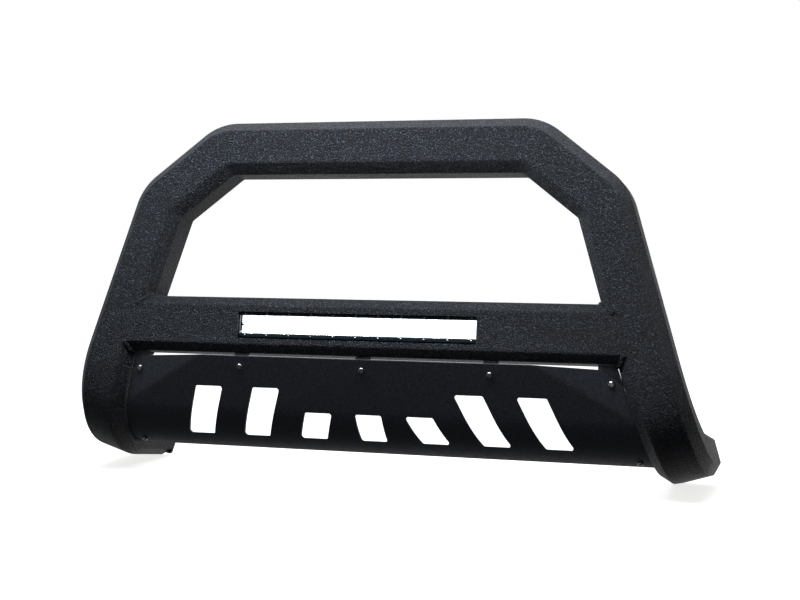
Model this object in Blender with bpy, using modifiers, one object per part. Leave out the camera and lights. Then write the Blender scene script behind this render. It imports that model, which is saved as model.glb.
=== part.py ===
"""Front grille guard: a welded octagonal hoop with a lit crossbar and a bolted skid plate.

Metres, +Z up, +X to the right seen from the front, +Y towards the vehicle. The origin lies midway
between the two rear mounting faces. Everything is modelled in the plane of the hoop and hangs on
one empty, which leans the whole guard back. Sizes in the hoop's plane are measured from there.
"""

from math import asin, atan2, cos, pi, radians, sin, sqrt, tan

import bmesh
import bpy
from mathutils import Matrix, Vector

# Hoop
LEAN = radians(9.2)              # the hoop leans back this far
SPLAY = radians(17.0)            # the legs splay outwards this far
TUBE_WIDTH = 0.088               # across the tube, in the plane of the hoop
TUBE_DEPTH = 0.087               # front to back
FRONT_FLAT = 0.055               # the octagon's front and rear flats
SIDE_FLAT = 0.047                # its side flats
EDGE_ROUND = 0.004
TUBE_WALL = 0.003
TOP_HALF = 0.260                 # centre line of the top bar, to its corner
CORNER_OUT = 0.1124              # centre line of the slanted run: across
CORNER_DROP = 0.0885             # and down
INNER_BEND = 0.008               # bend radius of the tube's inner side at the corners
LEG_BEND = 0.1375                # centre-line radius where a leg turns back
SHOULDER_Z = 0.3784              # lower corner of the hoop above the legs' rear runs
PLATE_FACE_Y = 0.0               # rear face of the mounting plates
FRONT_Y = -0.290                 # front face of the hoop

BEND_SQUEEZE = 0.14              # the tube's depth lost by flattening in that bend

# Mounting plates at the legs' rear ends
END_PLATE = (0.076, 0.006, 0.053)
END_PLATE_INWARDS = 0.005        # the plate sits nearer the tube's inner and lower side
END_PLATE_DOWN = 0.0095
WELD_NUT_PITCH = 0.040
WELD_NUT_ACROSS = 0.018
WELD_NUT_LONG = 0.010
STUD_HOLE = 0.0105               # M12 core hole through plate and nut

# Crossbar, a folded channel open at the back
BAR_FOOT_Z = 0.1429              # lower edge of its front flat
BAR_FLAT = 0.0616
BAR_FOLD_UP = 0.0149
BAR_FOLD_BACK = 0.0126
BAR_DEPTH = 0.080
BAR_WALL = 0.003
WINDOW = (0.400, 0.0430)
WINDOW_X = -0.013                # the light sits a little to the left of the centre line
WINDOW_Z = BAR_FOOT_Z + 0.0306

# Skid plate
SHEET = 0.003
SKID_TOP_DROP = 0.0208           # its top edge below the crossbar's front flat
SKID_FOLD_DROP = 0.100           # where the flat panel meets the curved foot
SKID_FOOT_DROP = 0.167           # its bottom edge
SKID_BEHIND_LEG = 0.006          # the curved foot lies this far behind the legs' chamfer
SKID_SIDE_GAP = 0.0011
FOOT_STEPS = 6
CREASE_TOP_X = 0.280             # where the corner crease starts on the top edge
CORNER_CUT_X = 0.381
CORNER_CUT_DROP = 0.048
CORNER_BACK = 0.0272             # how far back the bent corner reaches at the leg
SLOT_ROUND = 0.0035
SLOT_SIDE_STEPS = 5              # points along a slot's side, which is straight in the flat blank
TALL_SLOT_DROPS = (0.0692, 0.1465)
SHORT_SLOT_DROPS = (0.1062, 0.1470)
SLOT_SPANS = (                   # inner and outer edge at the top, then at the bottom, then drops
    (0.2465, 0.2950, 0.2838, 0.3306, TALL_SLOT_DROPS),
    (0.1460, 0.1938, 0.1832, 0.2300, TALL_SLOT_DROPS),
    (0.0616, 0.1084, 0.0816, 0.1292, SHORT_SLOT_DROPS),
)
MIDDLE_SLOT_HALF = 0.0224

# Fasteners of the skid plate (M6)
SCREW_THREAD = 0.006
SCREW_HEAD = 0.0105
HEAD_HIGH = 0.0033
SOCKET_ACROSS = 0.004
SOCKET_DEEP = 0.002
SCREW_LONG = 0.018
NUT_ACROSS = 0.010
NUT_HIGH = 0.006
WASHER_OUT = 0.012
WASHER_THICK = 0.0016
HOLE = 0.0068
TAB_SHEET = 0.003
FOOT_TAB_GAP = 0.0012            # a flat tab stands off the curved foot by this much
SIDE_TAB = (0.080, 0.020)        # a corner tab's blank width, and its reach inwards of the screw
CENTRE_TAB_ROOT_BACK = 0.0035    # the tab's root stands this far behind the crossbar's fold
CENTRE_TAB_KNEE_DROP = 0.0240
CENTRE_TAB_FOOT_DROP = 0.0500
UPPER_TAB_REACH = (0.008, 0.040) # below and above the screw
LOWER_TAB_REACH = (0.012, 0.012)
CENTRE_TAB_WIDE = 0.024
CENTRE_TAB_X = 0.209
CENTRE_SCREW_DROP = 0.0358
UPPER_SCREW = (0.3940, 0.0425)    # across, and drop below the crossbar's front flat
LOWER_SCREW = (0.4285, 0.1612)

# Light bar
LIGHT_HALF = 0.208               # housing, half length without its end caps
LIGHT_TALL = 0.046
LIGHT_FRONT_Y = FRONT_Y + 0.008  # front face of the bezel
BEZEL_DEEP = 0.004
GASKET_DEEP = 0.0015
LENS_DEEP = 0.003
LENS = (0.402, 0.031)
HOUSING_FRONT_Y = LIGHT_FRONT_Y + BEZEL_DEEP + GASKET_DEEP
HOUSING_DEEP = 0.046
HOUSING_WALL = 0.003
FIN_DEEP = 0.010
FIN_COUNT = 6
END_CAP = 0.005
PIVOT_Y = FRONT_Y + 0.036
LIGHT_Z = WINDOW_Z + 0.0018
LED_ROWS = 2
LED_COLUMNS = 14
AIM_BOLT = 0.008
BRACKET_GAP = 0.0010             # side play between the light and its brackets
BRACKET_SHEET = 0.003

GAP = 0.0003                     # running or welded clearance between neighbouring solids

scene = bpy.context.scene


# ---------------------------------------------------------------- set-up

def clear_scene():
    for obj in list(bpy.data.objects):
        bpy.data.objects.remove(obj, do_unlink=True)


def new_collection(name):
    collection = bpy.data.collections.new(name)
    scene.collection.children.link(collection)
    return collection


def new_empty(name, parent=None):
    empty = bpy.data.objects.new(name, None)
    parts.objects.link(empty)
    empty.parent = parent
    return empty


def material(name, colour, roughness, metallic=0.0):
    made = bpy.data.materials.new(name)
    made.use_nodes = True
    shader = made.node_tree.nodes["Principled BSDF"]
    shader.inputs["Base Color"].default_value = (*colour, 1.0)
    shader.inputs["Roughness"].default_value = roughness
    shader.inputs["Metallic"].default_value = metallic
    return made


def add_object(name, mesh, finish, parent, smooth=True):
    obj = bpy.data.objects.new(name, mesh)
    parts.objects.link(obj)
    obj.parent = parent
    mesh.materials.clear()
    mesh.materials.append(finish)
    if smooth:
        mesh.shade_smooth()
        mesh.set_sharp_from_angle(angle=radians(30))
    return obj


def mesh_from(bm, name):
    mesh = bpy.data.meshes.new(name)
    bm.to_mesh(mesh)
    bm.free()
    return mesh


def drop_modifiers(obj):
    """Turns an object's evaluated shape into its own plain mesh."""
    bpy.context.view_layer.update()
    graph = bpy.context.evaluated_depsgraph_get()
    mesh = bpy.data.meshes.new_from_object(obj.evaluated_get(graph))
    old = obj.data
    obj.modifiers.clear()
    obj.data = mesh
    bpy.data.meshes.remove(old)


# ---------------------------------------------------------------- basic solids

def box_mesh(name, size, centre=(0.0, 0.0, 0.0)):
    bm = bmesh.new()
    bmesh.ops.create_cube(bm, size=1.0, matrix=Matrix.Translation(centre) @ Matrix.Diagonal((*size, 1.0)))
    return mesh_from(bm, name)


def cylinder_mesh(name, radius, length, sides=20, centre=(0.0, 0.0, 0.0), turn=None):
    """A cylinder along its local Z, turned by the given matrix."""
    bm = bmesh.new()
    place = Matrix.Translation(centre) @ (turn or Matrix.Identity(4))
    bmesh.ops.create_cone(bm, cap_ends=True, segments=sides, radius1=radius, radius2=radius,
                          depth=length, matrix=place)
    return mesh_from(bm, name)


def prism_mesh(name, outline, low, high, axis="Y"):
    """An outline of (x, z) points, or (y, z) points for axis X, pushed from low to high."""
    bm = bmesh.new()
    if axis == "Y":
        rim = [bm.verts.new((u, low, v)) for u, v in outline]
        push = Vector((0.0, high - low, 0.0))
    else:
        rim = [bm.verts.new((low, u, v)) for u, v in outline]
        push = Vector((high - low, 0.0, 0.0))
    face = bm.faces.new(rim)
    pushed = bmesh.ops.extrude_face_region(bm, geom=[face])
    moved = [item for item in pushed["geom"] if isinstance(item, bmesh.types.BMVert)]
    bmesh.ops.translate(bm, verts=moved, vec=push)
    bmesh.ops.recalc_face_normals(bm, faces=bm.faces)
    return mesh_from(bm, name)


def corner_arc(corner, before, after, radius, steps):
    """Points of the arc that rounds a corner, given the directions to its neighbours."""
    half = before.angle(after) / 2
    centre = corner + (before + after).normalized() * (radius / sin(half))
    start = corner + before * (radius / tan(half)) - centre
    end = corner + after * (radius / tan(half)) - centre
    sweep = start.angle_signed(end)
    points = []
    for step in range(steps + 1):
        turned = start.copy()
        turned.rotate(Matrix.Rotation(-sweep * step / steps, 2))
        points.append(centre + turned)
    return points


def rounded_outline(corners, radius, steps=3):
    """The outline with every corner turned into an arc."""
    points = []
    count = len(corners)
    for index in range(count):
        corner = Vector(corners[index])
        before = (Vector(corners[index - 1]) - corner).normalized()
        after = (Vector(corners[(index + 1) % count]) - corner).normalized()
        points += corner_arc(corner, before, after, radius, steps)
    return points


def cutter(name, mesh, parent):
    obj = bpy.data.objects.new(name, mesh)
    cutters.objects.link(obj)
    obj.parent = parent
    obj.hide_render = True
    obj.display_type = "WIRE"
    return obj


def cut(obj, tool, operation="DIFFERENCE"):
    modifier = obj.modifiers.new(tool.name, "BOOLEAN")
    modifier.operation = operation
    modifier.solver = "EXACT"
    modifier.object = tool


# ---------------------------------------------------------------- places on the hoop

def leg_point(across, down):
    """A point on the right leg: across its width from the centre line, and down from the shoulder."""
    shoulder = Vector((TOP_HALF + CORNER_OUT, 0.0, SHOULDER_Z))
    outwards = Vector((cos(SPLAY), 0.0, sin(SPLAY)))
    downwards = Vector((sin(SPLAY), 0.0, -cos(SPLAY)))
    return shoulder + outwards * across + downwards * down


LEG_LENGTH = SHOULDER_Z / cos(SPLAY)             # shoulder to the level of the rear runs
BEND_START = LEG_LENGTH - LEG_BEND
TUBE_MID_Y = FRONT_Y + TUBE_DEPTH / 2
RUN_X = leg_point(0.0, LEG_LENGTH).x


def leg_side_x(z, margin=0.0):
    """How far out the leg's inner side lies at a height."""
    inner = leg_point(-TUBE_WIDTH / 2, 0.0)
    return inner.x + (inner.z - z) * tan(SPLAY) - margin


def chamfer_rear_y(z, behind=0.0):
    """Depth of the edge between the leg's inner chamfer and inner side, which curves back below."""
    chamfer = (TUBE_DEPTH - SIDE_FLAT) / 2
    radius = LEG_BEND + TUBE_DEPTH / 2 - chamfer - behind
    start = leg_point(-TUBE_WIDTH / 2, BEND_START).z
    along = max((start - z) / cos(SPLAY), 0.0)
    return FRONT_Y + chamfer + behind + radius - sqrt(radius**2 - along**2)


# ---------------------------------------------------------------- hoop

def octagon():
    """The tube's section, x across and y front to back, each edge rounded by one small flat."""
    half_w = TUBE_WIDTH / 2
    half_d = TUBE_DEPTH / 2
    corners = []
    for sx, sy in ((1, -1), (1, 1), (-1, 1), (-1, -1)):
        side = (sx * half_w, sy * SIDE_FLAT / 2)
        flat = (sx * FRONT_FLAT / 2, sy * half_d)
        corners += [flat, side] if sx * sy < 0 else [side, flat]
    return rounded_outline(corners, EDGE_ROUND * 2, steps=1)


def arc_points(before, corner, after, radius, steps):
    """Points of the arc that rounds a corner of the centre line."""
    to_before = (before - corner).normalized()
    to_after = (after - corner).normalized()
    half = to_before.angle(to_after) / 2
    centre = corner + (to_before + to_after).normalized() * (radius / sin(half))
    start = corner + to_before * (radius / tan(half)) - centre
    axis = to_before.cross(to_after)
    sweep = -(pi - 2 * half)
    return [centre + Matrix.Rotation(sweep * i / steps, 3, axis) @ start for i in range(steps + 1)]


def half_centre_line():
    """The centre line from the middle of the top bar to the right leg's rear end."""
    corners = [
        Vector((0.0, TUBE_MID_Y, SHOULDER_Z + CORNER_DROP)),
        Vector((TOP_HALF, TUBE_MID_Y, SHOULDER_Z + CORNER_DROP)),
        Vector((TOP_HALF + CORNER_OUT, TUBE_MID_Y, SHOULDER_Z)),
        Vector((RUN_X, TUBE_MID_Y, 0.0)),
        Vector((RUN_X, PLATE_FACE_Y - END_PLATE[1] - GAP, 0.0)),
    ]
    corner_radius = INNER_BEND + TUBE_WIDTH / 2
    bends = ((corner_radius, 5), (corner_radius, 5), (LEG_BEND, 9))
    points = [corners[0]]
    for index, (radius, steps) in enumerate(bends, 1):
        points += arc_points(corners[index - 1], corners[index], corners[index + 1], radius, steps)
    return points + [corners[-1]]


def poly_curve(name, points, closed):
    curve = bpy.data.curves.new(name, "CURVE")
    curve.dimensions = "3D"
    spline = curve.splines.new("POLY")
    spline.points.add(len(points) - 1)
    for control, point in zip(spline.points, points):
        control.co = (*point, 1.0)
    spline.use_cyclic_u = closed
    return curve


def make_hoop(parent):
    """Half the hoop is the octagon swept along the centre line; the other half mirrors it."""
    section = poly_curve("tube_section", [(y, x, 0.0) for x, y in octagon()], True)
    guide = cutter("tube_section", section, parent)
    path = poly_curve("tube_path", half_centre_line(), False)
    path.bevel_mode = "OBJECT"
    path.bevel_object = guide
    swept = bpy.data.objects.new("tube_path", path)
    parts.objects.link(swept)
    bpy.context.view_layer.update()
    graph = bpy.context.evaluated_depsgraph_get()
    mesh = bpy.data.meshes.new_from_object(swept.evaluated_get(graph))
    bpy.data.objects.remove(swept, do_unlink=True)
    bpy.data.objects.remove(guide, do_unlink=True)
    bm = bmesh.new()
    bm.from_mesh(mesh)
    bmesh.ops.remove_doubles(bm, verts=bm.verts, dist=0.00001)
    face_outwards(bm)
    flatten_bend(bm)
    hoop = add_object("hoop_tube", mesh_from(bm, "hoop_tube"), powder_coat, parent)
    other_half = hoop.modifiers.new("other_half", "MIRROR")
    other_half.merge_threshold = 0.0001
    wall = hoop.modifiers.new("wall", "SOLIDIFY")
    wall.thickness = TUBE_WALL
    wall.offset = -1.0
    return hoop


def face_outwards(bm):
    """Turns an open tube's faces away from its centre line, judged on the top bar."""
    top = max(bm.faces, key=lambda face: face.calc_center_median().z)
    if top.normal.z < 0:
        bmesh.ops.reverse_faces(bm, faces=bm.faces)


def flatten_bend(bm):
    """Brings the tube's inner wall nearer its outer wall round the leg's bend and behind it."""
    shoulder = leg_point(0.0, 0.0)
    down = (leg_point(0.0, 1.0) - shoulder).normalized()
    bend_y = TUBE_MID_Y + LEG_BEND
    outer = LEG_BEND + TUBE_DEPTH / 2
    for vert in bm.verts:
        past = (vert.co - shoulder).dot(down) - BEND_START
        if past <= 0:
            continue
        ahead = max(bend_y - vert.co.y, 0.0)
        turned = atan2(past, ahead) / (pi / 2)
        radius = sqrt(past**2 + ahead**2)
        inwards = (down * past - Vector((0.0, ahead, 0.0))) / radius
        vert.co += inwards * (outer - radius) * BEND_SQUEEZE * turned


def make_end_plate(side, parent):
    """A plate across the end of the tube, with two threaded holes."""
    name = "left_end_plate" if side < 0 else "right_end_plate"
    wide, thick, tall = END_PLATE
    corners = [(-wide / 2, -tall / 2), (wide / 2, -tall / 2), (wide / 2, tall / 2), (-wide / 2, tall / 2)]
    outline = rounded_outline(corners, EDGE_ROUND, steps=2)
    plate = add_object(name, prism_mesh(name, outline, -thick, 0.0), powder_coat, parent)
    inwards = Vector((-cos(SPLAY), 0.0, -sin(SPLAY))) * END_PLATE_INWARDS
    downwards = Vector((sin(SPLAY), 0.0, -cos(SPLAY))) * END_PLATE_DOWN
    centre = Vector((RUN_X, PLATE_FACE_Y, 0.0)) + inwards + downwards
    plate.location = (side * centre.x, centre.y, centre.z)
    plate.rotation_euler.y = -side * SPLAY
    for index, across in enumerate((-WELD_NUT_PITCH / 2, WELD_NUT_PITCH / 2)):
        hole = cylinder_mesh("hole", STUD_HOLE / 2, 0.1, 20, (across, 0.0, 0.0), Matrix.Rotation(pi / 2, 4, "X"))
        cut(plate, cutter(f"{name}_hole_{index + 1}", hole, plate))
        make_weld_nut(f"{name.split('_')[0]}_weld_nut_{index + 1}", plate, across)
    drop_modifiers(plate)


def make_weld_nut(name, plate, across):
    turn = Matrix.Rotation(pi / 2, 4, "X")
    centre_y = -END_PLATE[1] - GAP - WELD_NUT_LONG / 2
    radius = WELD_NUT_ACROSS / 2 / cos(pi / 6)
    mesh = cylinder_mesh(name, radius, WELD_NUT_LONG, 6, (across, centre_y, 0.0), turn)
    nut = add_object(name, mesh, zinc, plate, smooth=False)
    hole = cylinder_mesh("hole", STUD_HOLE / 2, 0.1, 20, (across, 0.0, 0.0), turn)
    cut(nut, cutter(f"{name}_hole", hole, plate))
    drop_modifiers(nut)


# ---------------------------------------------------------------- crossbar

def bar_profile():
    """The folded sheet's outer line, (y, z), from its lower rear edge round to its upper one."""
    foot = BAR_FOOT_Z
    top = BAR_FOOT_Z + BAR_FLAT
    return [
        (FRONT_Y + BAR_DEPTH, foot - BAR_FOLD_UP),
        (FRONT_Y + BAR_FOLD_BACK, foot - BAR_FOLD_UP),
        (FRONT_Y, foot),
        (FRONT_Y, top),
        (FRONT_Y + BAR_FOLD_BACK, top + BAR_FOLD_UP),
        (FRONT_Y + BAR_DEPTH, top + BAR_FOLD_UP),
    ]


def leg_cope(side, parent):
    """Everything on and beyond a leg, seen along it: it trims the crossbar's end to the tube."""
    chamfer_w = (TUBE_WIDTH - FRONT_FLAT) / 2
    chamfer_d = (TUBE_DEPTH - SIDE_FLAT) / 2
    flat_x = -FRONT_FLAT / 2 - GAP
    side_x = flat_x - chamfer_w
    front = FRONT_Y - 0.05
    outline = [
        (flat_x, front),
        (flat_x, FRONT_Y),
        (side_x, FRONT_Y + chamfer_d),
        (side_x, FRONT_Y + 0.2),
        (0.3, FRONT_Y + 0.2),
        (0.3, front),
    ]
    bm = bmesh.new()
    rim = [bm.verts.new((x, y, -0.2)) for x, y in outline]
    pushed = bmesh.ops.extrude_face_region(bm, geom=[bm.faces.new(rim)])
    moved = [item for item in pushed["geom"] if isinstance(item, bmesh.types.BMVert)]
    bmesh.ops.translate(bm, verts=moved, vec=(0.0, 0.0, 0.4))
    bmesh.ops.recalc_face_normals(bm, faces=bm.faces)
    middle = leg_point(0.0, (SHOULDER_Z - WINDOW_Z) / cos(SPLAY))
    place = Matrix.Translation((middle.x, 0.0, middle.z)) @ Matrix.Rotation(-SPLAY, 4, "Y")
    bm.transform(place)
    if side < 0:
        bm.transform(Matrix.Diagonal((-1.0, 1.0, 1.0, 1.0)))
        bmesh.ops.reverse_faces(bm, faces=bm.faces)
    return cutter(f"cope_{side}", mesh_from(bm, "cope"), parent)


def make_crossbar(parent):
    reach = leg_side_x(BAR_FOOT_Z - BAR_FOLD_UP) + 0.06
    bm = bmesh.new()
    rows = [[bm.verts.new((x, y, z)) for y, z in bar_profile()] for x in (-reach, reach)]
    for index in range(len(rows[0]) - 1):
        bm.faces.new((rows[0][index], rows[1][index], rows[1][index + 1], rows[0][index + 1]))
    bmesh.ops.recalc_face_normals(bm, faces=bm.faces)
    if min(bm.faces, key=lambda face: face.calc_center_median().y).normal.y > 0:
        bmesh.ops.reverse_faces(bm, faces=bm.faces)
    bar = add_object("crossbar_shell", mesh_from(bm, "crossbar_shell"), powder_coat, parent, smooth=False)
    sheet = bar.modifiers.new("sheet", "SOLIDIFY")
    sheet.thickness = BAR_WALL
    sheet.offset = -1.0
    sheet.use_even_offset = True
    for side in (-1, 1):
        cut(bar, leg_cope(side, parent))
    cut(bar, window_cutter(parent))
    drop_modifiers(bar)


def window_cutter(parent):
    wide, tall = WINDOW
    corners = [(-wide / 2, -tall / 2), (wide / 2, -tall / 2), (wide / 2, tall / 2), (-wide / 2, tall / 2)]
    outline = [(x + WINDOW_X, z + WINDOW_Z) for x, z in rounded_outline(corners, 0.003)]
    return cutter("window", prism_mesh("window", outline, FRONT_Y - 0.02, FRONT_Y + 0.02), parent)


# ---------------------------------------------------------------- skid plate

def skid_front_y(drop):
    """Depth of the skid plate's front surface below the crossbar: a flat panel, then a curved foot."""
    fold_y = chamfer_rear_y(BAR_FOOT_Z - SKID_FOLD_DROP, SKID_BEHIND_LEG)
    if drop < SKID_FOLD_DROP:
        share = (drop - SKID_TOP_DROP) / (SKID_FOLD_DROP - SKID_TOP_DROP)
        return FRONT_Y + (fold_y - FRONT_Y) * share
    return chamfer_rear_y(BAR_FOOT_Z - drop, SKID_BEHIND_LEG)


def foot_drops():
    """Drops of the curved foot's rows, evenly spaced round its bend."""
    start = leg_point(-TUBE_WIDTH / 2, BEND_START).z
    reach = (LEG_BEND + TUBE_DEPTH / 2 - (TUBE_DEPTH - SIDE_FLAT) / 2 - SKID_BEHIND_LEG) * cos(SPLAY)
    first = asin((start - BAR_FOOT_Z + SKID_FOLD_DROP) / reach)
    last = asin((start - BAR_FOOT_Z + SKID_FOOT_DROP) / reach)
    turns = [first + (last - first) * step / FOOT_STEPS for step in range(FOOT_STEPS + 1)]
    return [BAR_FOOT_Z - start + reach * sin(turn) for turn in turns]


def skid_point(x, drop, y=None):
    return Vector((x, skid_front_y(drop) if y is None else y, BAR_FOOT_Z - drop))


def corner_plane():
    """A point on the bent corner and its unit normal, which faces the front."""
    start = skid_point(CREASE_TOP_X, SKID_TOP_DROP)
    end = skid_point(leg_side_x(BAR_FOOT_Z - SKID_FOLD_DROP, SKID_SIDE_GAP), SKID_FOLD_DROP)
    side_x = leg_side_x(BAR_FOOT_Z - CORNER_CUT_DROP, SKID_SIDE_GAP)
    outer = skid_point(side_x, CORNER_CUT_DROP, FRONT_Y + CORNER_BACK)
    normal = (end - start).cross(outer - start).normalized()
    return start, -normal if normal.y > 0 else normal


def corner_point(x, drop):
    """A point on the right-hand bent corner of the skid plate's front."""
    start, normal = corner_plane()
    z = BAR_FOOT_Z - drop
    y = start.y - (normal.x * (x - start.x) + normal.z * (z - start.z)) / normal.y
    return Vector((x, y, z))


def make_skid_plate(parent):
    rows = foot_drops()
    bm = bmesh.new()
    top_mid = bm.verts.new(skid_point(0.0, SKID_TOP_DROP))
    crease = bm.verts.new(skid_point(CREASE_TOP_X, SKID_TOP_DROP))
    cut_top = bm.verts.new(corner_point(CORNER_CUT_X, SKID_TOP_DROP + 0.003))
    side_x = leg_side_x(BAR_FOOT_Z - CORNER_CUT_DROP, SKID_SIDE_GAP)
    cut_side = bm.verts.new(corner_point(side_x, CORNER_CUT_DROP))
    mids = [bm.verts.new(skid_point(0.0, drop)) for drop in rows]
    sides = [bm.verts.new(skid_point(leg_side_x(BAR_FOOT_Z - drop, SKID_SIDE_GAP), drop)) for drop in rows]
    bm.faces.new((top_mid, mids[0], sides[0], crease))
    bm.faces.new((crease, sides[0], cut_side, cut_top))
    for index in range(len(rows) - 1):
        bm.faces.new((mids[index], mids[index + 1], sides[index + 1], sides[index]))
    bmesh.ops.recalc_face_normals(bm, faces=bm.faces)
    bm.faces.ensure_lookup_table()
    if bm.faces[0].normal.y > 0:
        bmesh.ops.reverse_faces(bm, faces=bm.faces)
    plate = add_object("skid_plate", mesh_from(bm, "skid_plate"), powder_coat, parent)
    other_half = plate.modifiers.new("other_half", "MIRROR")
    other_half.merge_threshold = 0.0001
    sheet = plate.modifiers.new("sheet", "SOLIDIFY")
    sheet.thickness = SHEET
    sheet.offset = -1.0
    sheet.use_even_offset = True
    for index, outline in enumerate(slot_outlines()):
        slot = prism_mesh("slot", outline, FRONT_Y - 0.05, FRONT_Y + 0.2)
        cut(plate, cutter(f"slot_{index + 1}", slot, parent))
    for name, place in screw_places():
        hole = cylinder_mesh("hole", HOLE / 2, 0.03, 16)
        tool = cutter(f"{name}_plate_hole", hole, parent)
        tool.matrix_local = place
        cut(plate, tool)
    drop_modifiers(plate)


def blank_length(drop, steps=12):
    """Length of sheet from the plate's top edge down to a drop, round the curved foot."""
    start = min(drop, SKID_FOLD_DROP)
    length = (skid_point(0.0, start) - skid_point(0.0, SKID_TOP_DROP)).length
    drops = [start + (drop - start) * step / steps for step in range(steps + 1)]
    points = [skid_point(0.0, each) for each in drops]
    return length + sum((after - before).length for before, after in zip(points, points[1:]))


def slot_side(top_x, foot_x, drops):
    """A slot's side from top to foot, straight in the flat blank and so bowed once the foot is curved."""
    start, end = (blank_length(drop) for drop in drops)
    side = []
    for step in range(SLOT_SIDE_STEPS + 1):
        drop = drops[0] + (drops[1] - drops[0]) * step / SLOT_SIDE_STEPS
        share = (blank_length(drop) - start) / (end - start)
        side.append((top_x + (foot_x - top_x) * share, BAR_FOOT_Z - drop))
    return side


def slot_outlines():
    """Seven rounded openings: three leaning outwards on each side, one upright in the middle."""
    half = MIDDLE_SLOT_HALF
    spans = [(-half, half, -half, half, SHORT_SLOT_DROPS)] + list(SLOT_SPANS)
    outlines = []
    for inner, outer, inner_foot, outer_foot, drops in spans:
        inner_side = slot_side(inner, inner_foot, drops)
        outer_side = slot_side(outer, outer_foot, drops)
        right = rounded_corners(inner_side + outer_side[::-1], SLOT_ROUND)
        outlines.append(right)
        if inner > 0:
            outlines.append([(-x, z) for x, z in reversed(right)])
    return outlines


def rounded_corners(points, radius, steps=3, sharp=radians(40)):
    """The outline with its sharp corners turned into arcs and its gentle ones kept."""
    made = []
    count = len(points)
    for index in range(count):
        corner = Vector(points[index])
        before = (Vector(points[index - 1]) - corner).normalized()
        after = (Vector(points[(index + 1) % count]) - corner).normalized()
        if pi - before.angle(after) < sharp:
            made.append(corner)
        else:
            made += corner_arc(corner, before, after, radius, steps)
    return made


# ---------------------------------------------------------------- tabs and screws

def frame_on(point, normal):
    """A matrix whose Z leaves the plate's front at a point, with X level."""
    z_axis = normal.normalized()
    x_axis = Vector((0.0, 0.0, 1.0)).cross(z_axis)
    x_axis = x_axis.normalized() if x_axis.length > 0.001 else Vector((1.0, 0.0, 0.0))
    y_axis = z_axis.cross(x_axis)
    turn = Matrix((x_axis, y_axis, z_axis)).transposed().to_4x4()
    return Matrix.Translation(point) @ turn


def foot_normal(drop):
    """The curved foot's front normal in the y-z plane."""
    step = 0.002
    before = skid_point(0.0, drop - step)
    after = skid_point(0.0, drop + step)
    along = (after - before).normalized()
    return Vector((0.0, along.z, -along.y))


def screw_places():
    """Name and place of each screw: the matrix's Z points out of the plate's front face."""
    panel = skid_point(0.0, SKID_FOLD_DROP) - skid_point(0.0, SKID_TOP_DROP)
    panel_normal = Vector((0.0, panel.z, -panel.y))
    places = []
    for name, x in (("left", -CENTRE_TAB_X), ("middle", 0.0), ("right", CENTRE_TAB_X)):
        places.append((f"centre_{name}", frame_on(skid_point(x, CENTRE_SCREW_DROP), panel_normal)))
    normal = corner_plane()[1]
    for name, side in (("left", -1), ("right", 1)):
        point = corner_point(*UPPER_SCREW)
        upper = frame_on(Vector((side * point.x, point.y, point.z)),
                         Vector((side * normal.x, normal.y, normal.z)))
        lower = frame_on(skid_point(side * LOWER_SCREW[0], LOWER_SCREW[1]), foot_normal(LOWER_SCREW[1]))
        places.append((f"upper_{name}", upper))
        places.append((f"lower_{name}", lower))
    return places


def tab_back(name):
    """How far behind the plate's front face a tab's own front face lies."""
    return SHEET + (FOOT_TAB_GAP if name.startswith("lower") else GAP)


def make_screw_set(name, place, parent):
    """Button-head screw, washer and lock nut through plate and tab."""
    holder = new_empty(f"{name}_screw_place", parent)
    holder.matrix_local = place
    screw = add_object(f"{name}_screw", screw_mesh(), stainless, holder)
    cut(screw, cutter(f"{name}_socket", socket_mesh(), holder))
    drop_modifiers(screw)
    back = -tab_back(name) - TAB_SHEET
    washer = ring_mesh("washer", SCREW_THREAD / 2 + GAP, WASHER_OUT / 2, back - GAP - WASHER_THICK, back - GAP)
    add_object(f"{name}_washer", washer, zinc, holder)
    nut_top = back - 2 * GAP - WASHER_THICK
    nut = ring_mesh("nut", SCREW_THREAD / 2 + GAP, NUT_ACROSS / 2 / cos(pi / 6), nut_top - NUT_HIGH, nut_top, 6)
    add_object(f"{name}_nut", nut, zinc, holder, smooth=False)


def screw_mesh():
    """Half profile of the screw turned about its axis, head above z = 0 and shank below."""
    head = SCREW_HEAD / 2
    profile = [
        (0.0, GAP + HEAD_HIGH),
        (head * 0.5, GAP + HEAD_HIGH),
        (head * 0.86, GAP + HEAD_HIGH * 0.62),
        (head, GAP + HEAD_HIGH * 0.12),
        (head, GAP),
        (SCREW_THREAD / 2, GAP),
        (SCREW_THREAD / 2, -SCREW_LONG + 0.0008),
        (SCREW_THREAD / 2 - 0.0008, -SCREW_LONG),
        (0.0, -SCREW_LONG),
    ]
    return turned_mesh("screw", profile, 12)


def turned_mesh(name, profile, sides):
    """A profile of (radius, z), top to bottom, turned about Z."""
    bm = bmesh.new()
    line = [bm.verts.new((radius, 0.0, z)) for radius, z in profile]
    edges = [bm.edges.new(pair) for pair in zip(line, line[1:])]
    bmesh.ops.spin(bm, geom=line + edges, cent=(0, 0, 0), axis=(0, 0, 1), angle=2 * pi, steps=sides)
    bmesh.ops.remove_doubles(bm, verts=bm.verts, dist=0.00001)
    bmesh.ops.recalc_face_normals(bm, faces=bm.faces)
    return mesh_from(bm, name)


def socket_mesh():
    top = GAP + HEAD_HIGH
    radius = SOCKET_ACROSS / 2 / cos(pi / 6)
    return cylinder_mesh("socket", radius, 2 * SOCKET_DEEP, 6, (0.0, 0.0, top))


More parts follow.
